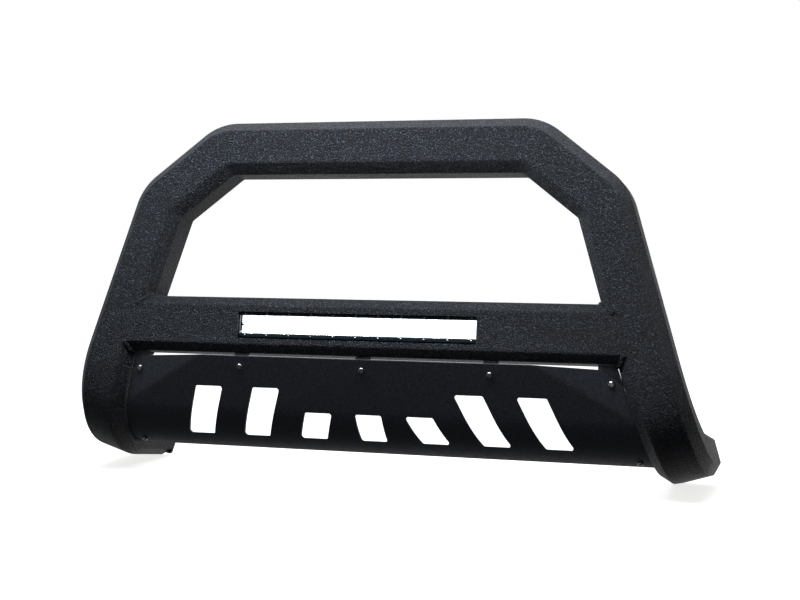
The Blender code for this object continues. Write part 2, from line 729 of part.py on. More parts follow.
def ring_mesh(name, inner, outer, low, high, sides=12):
    """A flat ring or a drilled nut between two heights: a closed profile turned about Z."""
    bm = bmesh.new()
    loops = []
    for radius_in, z in ((False, low), (False, high), (True, high), (True, low)):
        loop = []
        for index in range(sides * 2 if sides == 6 else sides):
            count = sides * 2 if sides == 6 else sides
            angle = 2 * pi * index / count
            radius = inner
            if not radius_in:
                radius = outer if sides != 6 or index % 2 == 0 else outer * cos(pi / 6)
            loop.append(bm.verts.new((radius * cos(angle), radius * sin(angle), z)))
        loops.append(loop)
    for loop, following in zip(loops, loops[1:] + loops[:1]):
        for index in range(len(loop)):
            after = (index + 1) % len(loop)
            bm.faces.new((loop[index], loop[after], following[after], following[index]))
    bmesh.ops.recalc_face_normals(bm, faces=bm.faces)
    return mesh_from(bm, name)


def drill_tab(tab, name, parent, place):
    tool = cutter(f"{name}_tab_hole", cylinder_mesh("hole", HOLE / 2, 0.03, 16), parent)
    tool.matrix_local = place
    cut(tab, tool)
    drop_modifiers(tab)


def make_centre_tab(name, x, place, parent):
    """A bent strip: welded under the crossbar, stepping forward, then lying along the plate's back."""
    slope = (skid_front_y(SKID_FOLD_DROP) - FRONT_Y) / (SKID_FOLD_DROP - SKID_TOP_DROP)
    behind = tab_back(name) * sqrt(1 + slope**2)
    root = BAR_FOLD_UP + GAP
    line = [
        (FRONT_Y + BAR_FOLD_BACK + CENTRE_TAB_ROOT_BACK, BAR_FOOT_Z - root),
        (skid_front_y(CENTRE_TAB_KNEE_DROP) + behind, BAR_FOOT_Z - CENTRE_TAB_KNEE_DROP),
        (skid_front_y(CENTRE_TAB_FOOT_DROP) + behind, BAR_FOOT_Z - CENTRE_TAB_FOOT_DROP),
    ]
    thick = TAB_SHEET * sqrt(1 + slope**2)
    outline = line + [(y + thick, z) for y, z in reversed(line)]
    half = CENTRE_TAB_WIDE / 2
    mesh = prism_mesh(name, outline, x - half, x + half, "X")
    tab = add_object(f"{name}_tab", mesh, powder_coat, parent, smooth=False)
    drill_tab(tab, name, parent, place)


def make_side_tab(name, side, place, parent):
    """A flat plate behind a corner screw, its outer edge welded to the leg's inner side.

    The upper ones reach up to the crossbar's underside and fill the corner.
    """
    below, above = UPPER_TAB_REACH if name.startswith("upper") else LOWER_TAB_REACH
    wide, inwards = SIDE_TAB
    flip = -1 if (place.to_3x3() @ Vector((1.0, 0.0, 0.0))).x < 0 else 1
    middle = (flip * side * (wide / 2 - inwards), (above - below) / 2, -tab_back(name) - TAB_SHEET / 2)
    mesh = box_mesh(name, (wide, above + below, TAB_SHEET), middle)
    mesh.transform(place)
    tab = add_object(f"{name}_tab", mesh, powder_coat, parent, smooth=False)
    cut(tab, leg_trim(f"{name}_trim", side, place.translation.z, parent))
    underside = BAR_FOOT_Z - BAR_FOLD_UP - GAP
    roof = box_mesh(name, (1.0, 0.4, 0.1), (0.0, FRONT_Y, underside + 0.05))
    cut(tab, cutter(f"{name}_roof", roof, parent))
    drill_tab(tab, name, parent, place)


def leg_trim(name, side, z, parent):
    """A block whose inner face is the leg's inner side, less the welding gap."""
    mesh = box_mesh(name, (0.2, 0.4, 0.2), (0.1, 0.0, 0.0))
    mesh.transform(Matrix.Translation((leg_side_x(z, GAP / cos(SPLAY)), FRONT_Y, z)) @ Matrix.Rotation(-SPLAY, 4, "Y"))
    if side < 0:
        mesh.transform(Matrix.Diagonal((-1.0, 1.0, 1.0, 1.0)))
        mesh.flip_normals()
    return cutter(name, mesh, parent)


def make_plate_fixings(parent):
    for name, place in screw_places():
        make_screw_set(name, place, parent)
        side = -1 if name.endswith("left") else 1
        if name.startswith("centre"):
            make_centre_tab(name, place.translation.x, place, parent)
        else:
            make_side_tab(name, side, place, parent)


# ---------------------------------------------------------------- light bar

def light_ring(name, outer, inner, low, high, finish, parent):
    """A rectangular frame between two depths, outer and inner sizes given as (wide, tall)."""
    ring = add_object(name, box_mesh(name, (outer[0], high - low, outer[1]), (0.0, (low + high) / 2, 0.0)),
                      finish, parent, smooth=False)
    hole = box_mesh(name, (inner[0], 0.1, inner[1]), (0.0, (low + high) / 2, 0.0))
    cut(ring, cutter(f"{name}_hole", hole, parent))
    return ring


def make_housing(parent, front, rear):
    """A channel with a flat floor, walls at the front, and cooling fins along its back."""
    length = 2 * LIGHT_HALF
    half = LIGHT_TALL / 2
    floor = rear - FIN_DEEP
    fins = []
    pitch = LIGHT_TALL / (2 * FIN_COUNT - 1)
    for index in range(FIN_COUNT):
        low = -half + 2 * index * pitch
        fins += [(floor, low), (rear, low), (rear, low + pitch), (floor, low + pitch)]
    inner = half - HOUSING_WALL
    web = front + 0.022
    outline = [(front, half), (front, inner), (web, inner), (web, -inner), (front, -inner), (front, -half)]
    outline += [point for point in fins if point not in outline]
    mesh = prism_mesh("light_housing", outline, -length / 2, length / 2, "X")
    return add_object("light_housing", mesh, black_aluminium, parent, smooth=False)


def make_reflector(parent, front, rear):
    """A plate with a tapered cup for each LED."""
    wide, tall = LENS[0] - 0.006, LENS[1] - 0.001
    plate = add_object("light_reflector",
                       box_mesh("light_reflector", (wide, rear - front, tall), (0.0, (front + rear) / 2, 0.0)),
                       bright_chrome, parent, smooth=False)
    bm = bmesh.new()
    turn = Matrix.Rotation(pi / 2, 4, "X")
    deep = rear - front + 0.002
    for x, z in led_places():
        place = Matrix.Translation((x, (front + rear) / 2, z)) @ turn
        bmesh.ops.create_cone(bm, cap_ends=True, segments=8, radius1=0.0034, radius2=0.0066,
                              depth=deep, matrix=place)
    cut(plate, cutter("reflector_cups", mesh_from(bm, "reflector_cups"), parent))
    drop_modifiers(plate)


def led_places():
    pitch_x = (LENS[0] - 0.006) / LED_COLUMNS
    pitch_z = (LENS[1] - 0.002) / LED_ROWS
    for row in range(LED_ROWS):
        for column in range(LED_COLUMNS):
            yield ((column - (LED_COLUMNS - 1) / 2) * pitch_x, (row - (LED_ROWS - 1) / 2) * pitch_z)


def make_led_board(parent, front, rear):
    """A thin board, each LED a small raised block on its front."""
    thick = rear - front
    wide, tall = LENS[0] - 0.006, LENS[1] - 0.001
    board = add_object("led_board", box_mesh("led_board", (wide, thick, tall), (0.0, (front + rear) / 2, 0.0)),
                       circuit_board, parent, smooth=False)
    chips = bmesh.new()
    for x, z in led_places():
        place = Matrix.Translation((x, front, z)) @ Matrix.Diagonal((0.0035, 0.0012, 0.0035, 1.0))
        bmesh.ops.create_cube(chips, size=1.0, matrix=place)
    cut(board, cutter("led_chips", mesh_from(chips, "led_chips"), parent), "UNION")
    drop_modifiers(board)


def make_end_cap(side, parent, front, rear):
    """A plate over each end of the housing, with a tapped boss for the aiming bolt."""
    name = "light_end_cap_left" if side < 0 else "light_end_cap_right"
    middle_x = side * (LIGHT_HALF + GAP + END_CAP / 2)
    mesh = box_mesh(name, (END_CAP, rear - front, LIGHT_TALL), (middle_x, (front + rear) / 2, 0.0))
    cap = add_object(name, mesh, black_aluminium, parent, smooth=False)
    hole = cylinder_mesh("hole", AIM_BOLT / 2 + GAP, 0.012, 20, (middle_x, 0.0, 0.0), Matrix.Rotation(pi / 2, 4, "Y"))
    cut(cap, cutter(f"{name}_hole", hole, parent))
    drop_modifiers(cap)


def make_aim_bolt(side, parent):
    """A hexagon bolt along the tilt axis, screwed into the end cap through the bracket."""
    name = "left" if side < 0 else "right"
    turn = Matrix.Rotation(side * pi / 2, 4, "Y")
    inner = LIGHT_HALF + GAP + 0.0004
    bracket_out = LIGHT_HALF + GAP + END_CAP + BRACKET_GAP + BRACKET_SHEET
    washer = ring_mesh("aim_washer", AIM_BOLT / 2 + GAP, 0.0082, bracket_out + GAP, bracket_out + GAP + WASHER_THICK)
    washer.transform(turn)
    add_object(f"{name}_aim_washer", washer, zinc, parent)
    seat = bracket_out + 2 * GAP + WASHER_THICK
    head = 0.013 / 2 / cos(pi / 6)
    shank = cylinder_mesh("shank", AIM_BOLT / 2, seat - inner + 0.001, 20, (0.0, 0.0, (seat + inner + 0.001) / 2))
    shank.transform(turn)
    bolt = add_object(f"{name}_aim_bolt", shank, stainless, parent)
    cap = cylinder_mesh("cap", head, 0.0053, 6, (0.0, 0.0, seat + 0.0053 / 2))
    cap.transform(turn)
    cut(bolt, cutter(f"{name}_aim_head", cap, parent), "UNION")
    drop_modifiers(bolt)


def make_light_bracket(side, parent):
    """A strip welded to the crossbar's floor and roof, with the aiming bolt through its middle."""
    name = "light_bracket_left" if side < 0 else "light_bracket_right"
    roof = BAR_FOOT_Z + BAR_FLAT + BAR_FOLD_UP - BAR_WALL - GAP
    floor = BAR_FOOT_Z - BAR_FOLD_UP + BAR_WALL + GAP
    inner = LIGHT_HALF + GAP + END_CAP + BRACKET_GAP
    size = (BRACKET_SHEET, 0.030, roof - floor)
    x = WINDOW_X + side * (inner + BRACKET_SHEET / 2)
    bracket = add_object(name, box_mesh(name, size, (x, PIVOT_Y, (roof + floor) / 2)), powder_coat, parent,
                         smooth=False)
    hole = cylinder_mesh("hole", AIM_BOLT / 2 + GAP, 0.02, 20, (x, PIVOT_Y, LIGHT_Z), Matrix.Rotation(pi / 2, 4, "Y"))
    cut(bracket, cutter(f"{name}_hole", hole, parent))
    drop_modifiers(bracket)


def make_back_fittings(parent, rear):
    """Cable gland and breather valve, screwed into bosses between the fins."""
    turn = Matrix.Rotation(-pi / 2, 4, "X")
    gland = turned_mesh("cable_gland", [
        (0.0, 0.016), (0.0032, 0.016), (0.0050, 0.0145), (0.0062, 0.011), (0.0062, 0.005),
        (0.0075, 0.005), (0.0075, GAP), (0.0, GAP)], 16)
    gland.transform(Matrix.Translation((-LIGHT_HALF * 0.72, rear, 0.0)) @ turn)
    add_object("cable_gland", gland, black_plastic, parent)
    valve = turned_mesh("breather_valve", [
        (0.0, 0.005), (0.0040, 0.005), (0.0055, 0.0035), (0.0055, GAP), (0.0, GAP)], 16)
    valve.transform(Matrix.Translation((LIGHT_HALF * 0.72, rear, 0.0)) @ turn)
    add_object("breather_valve", valve, black_plastic, parent)


def make_light_bar(parent):
    """Everything here hangs on one empty on the tilt axis; depths are measured from that axis."""
    axis = new_empty("light_tilt_axis", parent)
    axis.location = (WINDOW_X, PIVOT_Y, LIGHT_Z)
    bezel_front = LIGHT_FRONT_Y - PIVOT_Y
    bezel_rear = bezel_front + BEZEL_DEEP
    housing_front = HOUSING_FRONT_Y - PIVOT_Y
    housing_rear = housing_front + HOUSING_DEEP
    frame_out = (2 * LIGHT_HALF, LIGHT_TALL - 0.004)
    light_ring("light_bezel", frame_out, (LENS[0] - 0.002, LENS[1] - 0.002), bezel_front, bezel_rear - GAP,
               black_aluminium, axis)
    drop_modifiers(bpy.data.objects["light_bezel"])
    light_ring("light_gasket", frame_out, LENS, bezel_rear, housing_front - GAP, rubber, axis)
    drop_modifiers(bpy.data.objects["light_gasket"])
    lens_size = (LENS[0] - 2 * GAP, LENS_DEEP, LENS[1] - 2 * GAP)
    lens = box_mesh("light_lens", lens_size, (0.0, bezel_rear + LENS_DEEP / 2, 0.0))
    add_object("light_lens", lens, clear_lens, axis, smooth=False)
    board_rear = housing_front + 0.022 - GAP
    board_front = board_rear - 0.0016
    make_led_board(axis, board_front, board_rear)
    make_reflector(axis, bezel_rear + LENS_DEEP + 0.001, board_front - 0.0010)
    make_housing(axis, housing_front, housing_rear)
    for side in (-1, 1):
        make_end_cap(side, axis, housing_front, housing_rear)
        make_aim_bolt(side, axis)
        make_light_bracket(side, parent)
    make_back_fittings(axis, housing_rear)


# ---------------------------------------------------------------- build

clear_scene()
parts = new_collection("front_grille_guard")
cutters = new_collection("cutters")

powder_coat = material("black textured powder coat", (0.012, 0.013, 0.015), 0.55)
stainless = material("stainless steel", (0.62, 0.62, 0.60), 0.25, 1.0)
zinc = material("zinc plated steel", (0.48, 0.49, 0.50), 0.35, 1.0)
black_aluminium = material("black anodised aluminium", (0.02, 0.022, 0.024), 0.4, 1.0)
bright_chrome = material("metallised plastic", (0.85, 0.86, 0.88), 0.08, 1.0)
clear_lens = material("clear polycarbonate", (0.92, 0.96, 1.0), 0.05)
circuit_board = material("white circuit board", (0.75, 0.76, 0.74), 0.5)
rubber = material("black rubber", (0.015, 0.015, 0.015), 0.8)
black_plastic = material("black nylon", (0.02, 0.02, 0.02), 0.5)

lean = new_empty("hoop_plane")
lean.rotation_euler.x = -LEAN

make_hoop(lean)
for leg in (-1, 1):
    make_end_plate(leg, lean)
make_crossbar(lean)
make_skid_plate(lean)
make_plate_fixings(lean)
make_light_bar(lean)
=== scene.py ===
from functools import partial
from math import asin, atan2, cos, pi, radians, sin, sqrt, tan

import bmesh
import bpy
from mathutils import Matrix, Vector


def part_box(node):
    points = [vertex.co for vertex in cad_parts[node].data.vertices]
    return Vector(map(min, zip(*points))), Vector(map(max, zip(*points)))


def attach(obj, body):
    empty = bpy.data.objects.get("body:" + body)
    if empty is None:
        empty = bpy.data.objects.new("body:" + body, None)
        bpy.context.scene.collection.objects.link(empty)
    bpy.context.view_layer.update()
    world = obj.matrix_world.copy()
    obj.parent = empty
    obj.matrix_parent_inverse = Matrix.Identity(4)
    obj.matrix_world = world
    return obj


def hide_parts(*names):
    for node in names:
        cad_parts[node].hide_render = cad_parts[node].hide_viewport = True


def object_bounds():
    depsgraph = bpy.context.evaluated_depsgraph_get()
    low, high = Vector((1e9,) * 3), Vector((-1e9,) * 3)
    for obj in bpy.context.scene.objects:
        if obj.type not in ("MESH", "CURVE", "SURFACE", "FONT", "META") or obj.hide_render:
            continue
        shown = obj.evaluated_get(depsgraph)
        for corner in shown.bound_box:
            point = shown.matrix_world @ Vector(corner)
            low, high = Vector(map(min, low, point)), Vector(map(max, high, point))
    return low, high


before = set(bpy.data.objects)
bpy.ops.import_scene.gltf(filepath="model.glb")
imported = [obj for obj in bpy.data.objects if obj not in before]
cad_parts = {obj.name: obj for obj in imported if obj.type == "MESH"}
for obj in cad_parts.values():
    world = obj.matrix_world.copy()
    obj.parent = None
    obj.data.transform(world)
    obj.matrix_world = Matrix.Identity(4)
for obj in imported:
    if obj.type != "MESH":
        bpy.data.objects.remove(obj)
cadLow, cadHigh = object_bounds()
scene = bpy.context.scene
leanBack = Matrix.Rotation(radians(-9.2), 4, "X")
print("frame loaded:", len(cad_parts), "CAD nodes")

# camera and stage

cameraSettings = {
    "place": (0.7566, -2.4514, 0.4030),
    "looksAlong": (-0.30076, 0.95175, -0.06093),
    "lens": 66.27,
}
cameraData = bpy.data.cameras.new("camera")
cameraData.lens = cameraSettings["lens"]
cameraData.sensor_width = 36.0
camera = bpy.data.objects.new("camera", cameraData)
scene.collection.objects.link(camera)
camera.location = cameraSettings["place"]
camera.rotation_mode = "QUATERNION"
camera.rotation_quaternion = Vector(cameraSettings["looksAlong"]).to_track_quat("-Z", "Y")
scene.camera = camera


def linearColour(hexText):  # sRGB hex to the linear values that a shader reads
    channels = [int(hexText[index:index + 2], 16) / 255 for index in (0, 2, 4)]
    linear = [c / 12.92 if c <= 0.04045 else ((c + 0.055) / 1.055) ** 2.4 for c in channels]
    return (*linear, 1.0)


def addNode(tree, kind, inputs=None, **settings):  # one node, its settings, and its values or links
    node = tree.nodes.new(kind)
    for name, value in settings.items():
        setattr(node, name, value)
    for key, value in (inputs or {}).items():
        if isinstance(value, bpy.types.NodeSocket):
            tree.links.new(value, node.inputs[key])
        else:
            node.inputs[key].default_value = value
    return node


def newFinish(name, roughness, metallic=0.0, ior=1.5):
    finish = bpy.data.materials.new(name)
    finish.use_nodes = True
    tree = finish.node_tree
    shader = tree.nodes["Principled BSDF"]
    shader.inputs["Roughness"].default_value = roughness
    shader.inputs["Metallic"].default_value = metallic
    shader.inputs["IOR"].default_value = ior
    return finish, tree, shader, addNode(tree, "ShaderNodeTexCoord").outputs["Object"]


def blendColours(tree, shader, pattern, stops):  # colours along a 0 to 1 pattern
    ramp = addNode(tree, "ShaderNodeValToRGB", {"Fac": pattern})
    ramp.color_ramp.elements[0].position, ramp.color_ramp.elements[1].position = stops[0][0], stops[-1][0]
    for place, _ in stops[1:-1]:
        ramp.color_ramp.elements.new(place)
    for element, (_, colour) in zip(ramp.color_ramp.elements, stops):
        element.color = linearColour(colour)
    tree.links.new(ramp.outputs["Color"], shader.inputs["Base Color"])


def varyRoughness(tree, shader, pattern, low, high):
    spread = addNode(tree, "ShaderNodeMapRange", {"Value": pattern, "From Min": 0.3, "From Max": 0.7,
                                                  "To Min": low, "To Max": high})
    tree.links.new(spread.outputs["Result"], shader.inputs["Roughness"])


def addRelief(tree, shader, height, strength, distance):
    bump = addNode(tree, "ShaderNodeBump", {"Height": height, "Strength": strength, "Distance": distance})
    tree.links.new(bump.outputs["Normal"], shader.inputs["Normal"])


def glowWith(shader, colour, strength):
    shader.inputs["Emission Color"].default_value = linearColour(colour)
    shader.inputs["Emission Strength"].default_value = strength


# finishes

def coarsePowderCoat():
    # Polyester powder coat, baked to a coarse wrinkle: near black, its pale bluish grain colours a painted
    # glint on each grain.
    finish, tree, shader, place = newFinish("coarse black powder coat", 0.46)
    grain = addNode(tree, "ShaderNodeTexNoise", {"Vector": place, "Scale": 460.0, "Detail": 3.0,
                                                 "Roughness": 0.6})  # grains about 2.2 mm across
    lump = addNode(tree, "ShaderNodeTexVoronoi", {"Vector": place, "Scale": 360.0}, feature="SMOOTH_F1")
    drift = addNode(tree, "ShaderNodeTexNoise", {"Vector": place, "Scale": 9.0, "Detail": 2.0})
    both = addNode(tree, "ShaderNodeMix", {"Factor": 0.3, 2: grain.outputs["Fac"],
                                           3: lump.outputs["Distance"]})
    # the two palest stops are painted glints, not the paint's own colour
    blendColours(tree, shader, grain.outputs["Fac"],
                 ((0.4, "020203"), (0.5, "0c0e10"), (0.58, "282d34"), (0.68, "68717e")))
    varyRoughness(tree, shader, drift.outputs["Fac"], 0.42, 0.5)
    addRelief(tree, shader, both.outputs[0], 1.0, 0.0075)
    return finish


def satinPowderCoat():
    # The same paint baked smooth on thin sheet: satin black with a faint orange peel.
    finish, tree, shader, place = newFinish("satin black powder coat", 0.42)
    grain = addNode(tree, "ShaderNodeTexNoise", {"Vector": place, "Scale": 520.0, "Detail": 2.0})
    peel = addNode(tree, "ShaderNodeTexNoise", {"Vector": place, "Scale": 150.0, "Detail": 1.0})
    both = addNode(tree, "ShaderNodeMix", {"Factor": 0.4, 2: grain.outputs["Fac"], 3: peel.outputs["Fac"]})
    blendColours(tree, shader, grain.outputs["Fac"],
                 ((0.35, "2c2e33"), (0.52, "3a3d43"), (0.66, "4b4f56")))
    varyRoughness(tree, shader, peel.outputs["Fac"], 0.42, 0.54)
    addRelief(tree, shader, both.outputs[0], 0.4, 0.0007)
    return finish


def brightStainless():
    # A2 stainless, cold headed: bright grey with faint drawing marks.
    finish, tree, shader, place = newFinish("bright stainless steel", 0.2, metallic=1.0)
    marks = addNode(tree, "ShaderNodeTexNoise", {"Vector": place, "Scale": 1500.0, "Detail": 2.0})
    blendColours(tree, shader, marks.outputs["Fac"], ((0.3, "b9bbbd"), (0.7, "dcdedf")))
    varyRoughness(tree, shader, marks.outputs["Fac"], 0.16, 0.3)
    addRelief(tree, shader, marks.outputs["Fac"], 0.15, 0.0001)
    return finish


def zincPlate():
    # Blue passivated zinc on steel: softer than stainless, cloudy, with small crystals.
    finish, tree, shader, place = newFinish("zinc plated steel", 0.36, metallic=1.0)
    cloud = addNode(tree, "ShaderNodeTexNoise", {"Vector": place, "Scale": 260.0, "Detail": 3.0})
    crystal = addNode(tree, "ShaderNodeTexVoronoi", {"Vector": place, "Scale": 900.0})
    blendColours(tree, shader, cloud.outputs["Fac"], ((0.32, "8d949b"), (0.52, "a9afb4"), (0.7, "bfc3c4")))
    varyRoughness(tree, shader, cloud.outputs["Fac"], 0.3, 0.48)
    addRelief(tree, shader, crystal.outputs["Distance"], 0.1, 0.0001)
    return finish


def anodisedAluminium():
    # 6063 aluminium, extruded and black anodised: dark metal with die lines along its length.
    finish, tree, shader, place = newFinish("black anodised aluminium", 0.4, metallic=0.85)
    along = addNode(tree, "ShaderNodeMapping", {"Vector": place, "Scale": (0.03, 1.0, 1.0)})
    lines = addNode(tree, "ShaderNodeTexNoise", {"Vector": along.outputs["Vector"], "Scale": 1400.0,
                                                 "Detail": 2.0})  # die lines about 0.7 mm apart
    blendColours(tree, shader, lines.outputs["Fac"], ((0.35, "16181b"), (0.65, "2b3035")))
    varyRoughness(tree, shader, lines.outputs["Fac"], 0.32, 0.5)
    addRelief(tree, shader, lines.outputs["Fac"], 0.2, 0.0001)
    return finish


def mouldedFinish(name, dark, pale, roughness, grainScale, relief):
    finish, tree, shader, place = newFinish(name, roughness)
    grain = addNode(tree, "ShaderNodeTexNoise", {"Vector": place, "Scale": grainScale, "Detail": 2.0})
    blendColours(tree, shader, grain.outputs["Fac"], ((0.35, dark), (0.65, pale)))
    varyRoughness(tree, shader, grain.outputs["Fac"], roughness - 0.05, roughness + 0.08)
    addRelief(tree, shader, grain.outputs["Fac"], 0.3, relief)
    return finish


def clearPolycarbonate():
    # Injection moulded polycarbonate: water clear, the faintest flow ripple.
    finish, tree, shader, place = newFinish("clear polycarbonate", 0.04, ior=1.585)
    shader.inputs["Transmission Weight"].default_value = 1.0
    ripple = addNode(tree, "ShaderNodeTexNoise", {"Vector": place, "Scale": 90.0, "Detail": 1.0})
    blendColours(tree, shader, ripple.outputs["Fac"], ((0.3, "f1f8fa"), (0.7, "ffffff")))
    varyRoughness(tree, shader, ripple.outputs["Fac"], 0.02, 0.07)
    addRelief(tree, shader, ripple.outputs["Fac"], 0.1, 0.0002)
    return finish


def metallisedReflector(glow):
    # Vacuum metallised plastic cups, with a painted glow standing in for the lamps' light they reflect.
    finish, tree, shader, place = newFinish("metallised reflector", 0.12, metallic=1.0)
    haze = addNode(tree, "ShaderNodeTexNoise", {"Vector": place, "Scale": 240.0, "Detail": 2.0})
    blendColours(tree, shader, haze.outputs["Fac"], ((0.3, "dfe6ea"), (0.7, "ffffff")))
    varyRoughness(tree, shader, haze.outputs["Fac"], 0.08, 0.2)
    # painted glow: the cups emit light of their own, though only the LED dies are lamps
    glowWith(shader, "f3f9ff", glow)
    return finish


def ledPhosphor(glow):
    # Phosphor coated LED dies, lit: cool white.
    finish, tree, shader, place = newFinish("lit led phosphor", 0.5)
    grit = addNode(tree, "ShaderNodeTexNoise", {"Vector": place, "Scale": 2600.0})
    blendColours(tree, shader, grit.outputs["Fac"], ((0.3, "f2e9a8"), (0.7, "fff7cf")))
    glowWith(shader, "f4f8ff", glow)
    return finish


coarseBlack = coarsePowderCoat()
satinBlack = satinPowderCoat()
stainless = brightStainless()
zinc = zincPlate()
anodised = anodisedAluminium()
bezelPaint = mouldedFinish("teal black bezel enamel", "0c1519", "1c2c33", 0.34, 700.0, 0.0001)
blackRubber = mouldedFinish("black silicone rubber", "0b0c0c", "1a1b1c", 0.7, 900.0, 0.0001)
blackNylon = mouldedFinish("black moulded nylon", "121416", "202327", 0.48, 1300.0, 0.0001)
whiteMask = mouldedFinish("white solder mask", "d3d6d4", "eef0ee", 0.4, 1800.0, 0.00005)
blueNylon = mouldedFinish("blue nylon insert", "2c4f86", "3f68a6", 0.45, 1500.0, 0.0001)
clearLens = clearPolycarbonate()
# the reflector's 1.6 is the strength of its painted glow
reflectorMetal = metallisedReflector(1.6)
phosphor = ledPhosphor(16.0)
print("finishes made")


# shared making

def meshFrom(bm, name):
    mesh = bpy.data.meshes.new(name)
    bm.to_mesh(mesh)
    bm.free()
    return mesh


def addPiece(name, mesh, finish, body, stoodFor=(), smoothAngle=30.0):
    piece = bpy.data.objects.new(name, mesh)
    scene.collection.objects.link(piece)
    mesh.materials.clear()
    mesh.materials.append(finish)
    if smoothAngle:
        mesh.shade_smooth()
        mesh.set_sharp_from_angle(angle=radians(smoothAngle))
    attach(piece, body)
    if stoodFor:
        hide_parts(*stoodFor)
    return piece


def plainMesh(obj):  # what the modifiers make, as a mesh of its own; the object goes
    bpy.context.view_layer.update()
    mesh = bpy.data.meshes.new_from_object(obj.evaluated_get(bpy.context.evaluated_depsgraph_get()))
    bpy.data.objects.remove(obj, do_unlink=True)
    return mesh


def helper(name, mesh):
    obj = bpy.data.objects.new(name, mesh)
    scene.collection.objects.link(obj)
    return obj


def newTree(name, sockets):  # a Geometry Nodes tree with its named inputs
    tree = bpy.data.node_groups.new(name, "GeometryNodeTree")
    tree.interface.new_socket("Geometry", in_out="INPUT", socket_type="NodeSocketGeometry")
    tree.interface.new_socket("Geometry", in_out="OUTPUT", socket_type="NodeSocketGeometry")
    for label, kind in sockets:
        tree.interface.new_socket(label, in_out="INPUT", socket_type=kind)
    return tree, addNode(tree, "NodeGroupInput"), tree.nodes.new("NodeGroupOutput")


def endTree(tree, outlet, geometry, finish):  # every tree ends this way, because the export drops instances
    real = addNode(tree, "GeometryNodeRealizeInstances", {"Geometry": geometry})
    painted = addNode(tree, "GeometryNodeSetMaterial", {"Geometry": real.outputs[0], "Material": finish})
    tree.links.new(painted.outputs[0], outlet.inputs[0])


def runTree(obj, tree, values):
    modifier = obj.modifiers.new(tree.name, "NODES")
    modifier.node_group = tree
    for item in tree.interface.items_tree:
        if item.in_out == "INPUT" and item.name in values:
            modifier[item.identifier] = values[item.name]
    return plainMesh(obj)


def pointsMesh(name, places, facings=None, radii=None, chain=False):
    mesh = bpy.data.meshes.new(name)
    edges = [(index, index + 1) for index in range(len(places) - 1)] if chain else []
    mesh.from_pydata([tuple(place) for place in places], edges, [])
    if facings:
        facing = mesh.attributes.new("facing", "FLOAT_VECTOR", "POINT")
        facing.data.foreach_set("vector", [value for vector in facings for value in vector])
    if radii:
        bend = mesh.attributes.new("bendRadius", "FLOAT", "POINT")
        bend.data.foreach_set("value", radii)
    return mesh


def boxMiddle(node):
    return sum(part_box(node), Vector()) / 2


def softenedMesh(name, nodes, width, segments=2, angle=32.0):  # CAD nodes merged, their edges rounded
    bm = bmesh.new()
    for node in nodes:
        bm.from_mesh(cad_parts[node].data)
    bmesh.ops.remove_doubles(bm, verts=bm.verts, dist=0.00001)
    bmesh.ops.dissolve_limit(bm, angle_limit=radians(1.0), verts=bm.verts, edges=bm.edges)
    sharp = [edge for edge in bm.edges
             if len(edge.link_faces) == 2 and edge.calc_face_angle() > radians(angle)]
    bmesh.ops.bevel(bm, geom=sharp, offset=width, offset_type="OFFSET", segments=segments, profile=0.5,
                    affect="EDGES", clamp_overlap=True)
    return meshFrom(bm, name)


def cornerArc(before, corner, after, radius, steps):  # points of the arc that replaces a corner
    corner = Vector(corner)
    toBefore = (Vector(before) - corner).normalized()
    toAfter = (Vector(after) - corner).normalized()
    half = toBefore.angle(toAfter) / 2
    reach = radius / tan(half)
    middle = corner + (toBefore + toAfter).normalized() * (radius / sin(half))
    start = corner + toBefore * reach - middle
    sweep = start.angle_signed(corner + toAfter * reach - middle)
    points = []
    for step in range(steps + 1):
        turned = start.copy()
        turned.rotate(Matrix.Rotation(-sweep * step / steps, 2))
        points.append(middle + turned)
    return points


def roundedOutline(corners, radius, steps, gentle=0.0):  # a closed line, its turns past gentle made arcs
    points = []
    for index, corner in enumerate(corners):
        before, after = corners[index - 1], corners[(index + 1) % len(corners)]
        arms = [Vector(end) - Vector(corner) for end in (before, after)]
        if pi - arms[0].angle(arms[1]) < gentle:
            points.append(Vector(corner))
        else:
            points += cornerArc(before, corner, after, radius, steps)
    return points


def prism(name, outline, low, high, axis="Y"):  # an outline pushed along an axis
    bm = bmesh.new()
    rims = []
    for depth in (low, high):
        places = [(u, depth, v) if axis == "Y" else (u, v, depth) for u, v in outline]
        rims.append([bm.verts.new(place) for place in places])
    bm.faces.new(rims[0])
    bm.faces.new(reversed(rims[1]))
    for index in range(len(outline)):
        following = (index + 1) % len(outline)
        bm.faces.new((rims[0][index], rims[0][following], rims[1][following], rims[1][index]))
    bmesh.ops.recalc_face_normals(bm, faces=bm.faces)
    return meshFrom(bm, name)


def addModifier(obj, name, kind, **settings):
    modifier = obj.modifiers.new(name, kind)
    for setting, value in settings.items():
        setattr(modifier, setting, value)


def cutAll(obj, tools, edge, segments):  # cuts every tool away, then rounds the edges
    for tool in tools:
        addModifier(obj, tool.name, "BOOLEAN", operation="DIFFERENCE", solver="EXACT", object=tool)
    addModifier(obj, "edges", "BEVEL", width=edge, segments=segments, angle_limit=radians(50.0))
    mesh = plainMesh(obj)
    for tool in tools:
        bpy.data.objects.remove(tool, do_unlink=True)
    mesh.transform(leanBack)
    return mesh


def turnedMesh(name, profile, sides):  # a profile of (radius, height) turned about Z
    bm = bmesh.new()
    line = [bm.verts.new((radius, 0.0, height)) for radius, height in profile]
    edges = [bm.edges.new(pair) for pair in zip(line, line[1:])]
    bmesh.ops.spin(bm, geom=line + edges, cent=(0, 0, 0), axis=(0, 0, 1), angle=2 * pi, steps=sides)
    bmesh.ops.remove_doubles(bm, verts=bm.verts, dist=0.000005)
    bmesh.ops.recalc_face_normals(bm, faces=bm.faces)
    return meshFrom(bm, name)


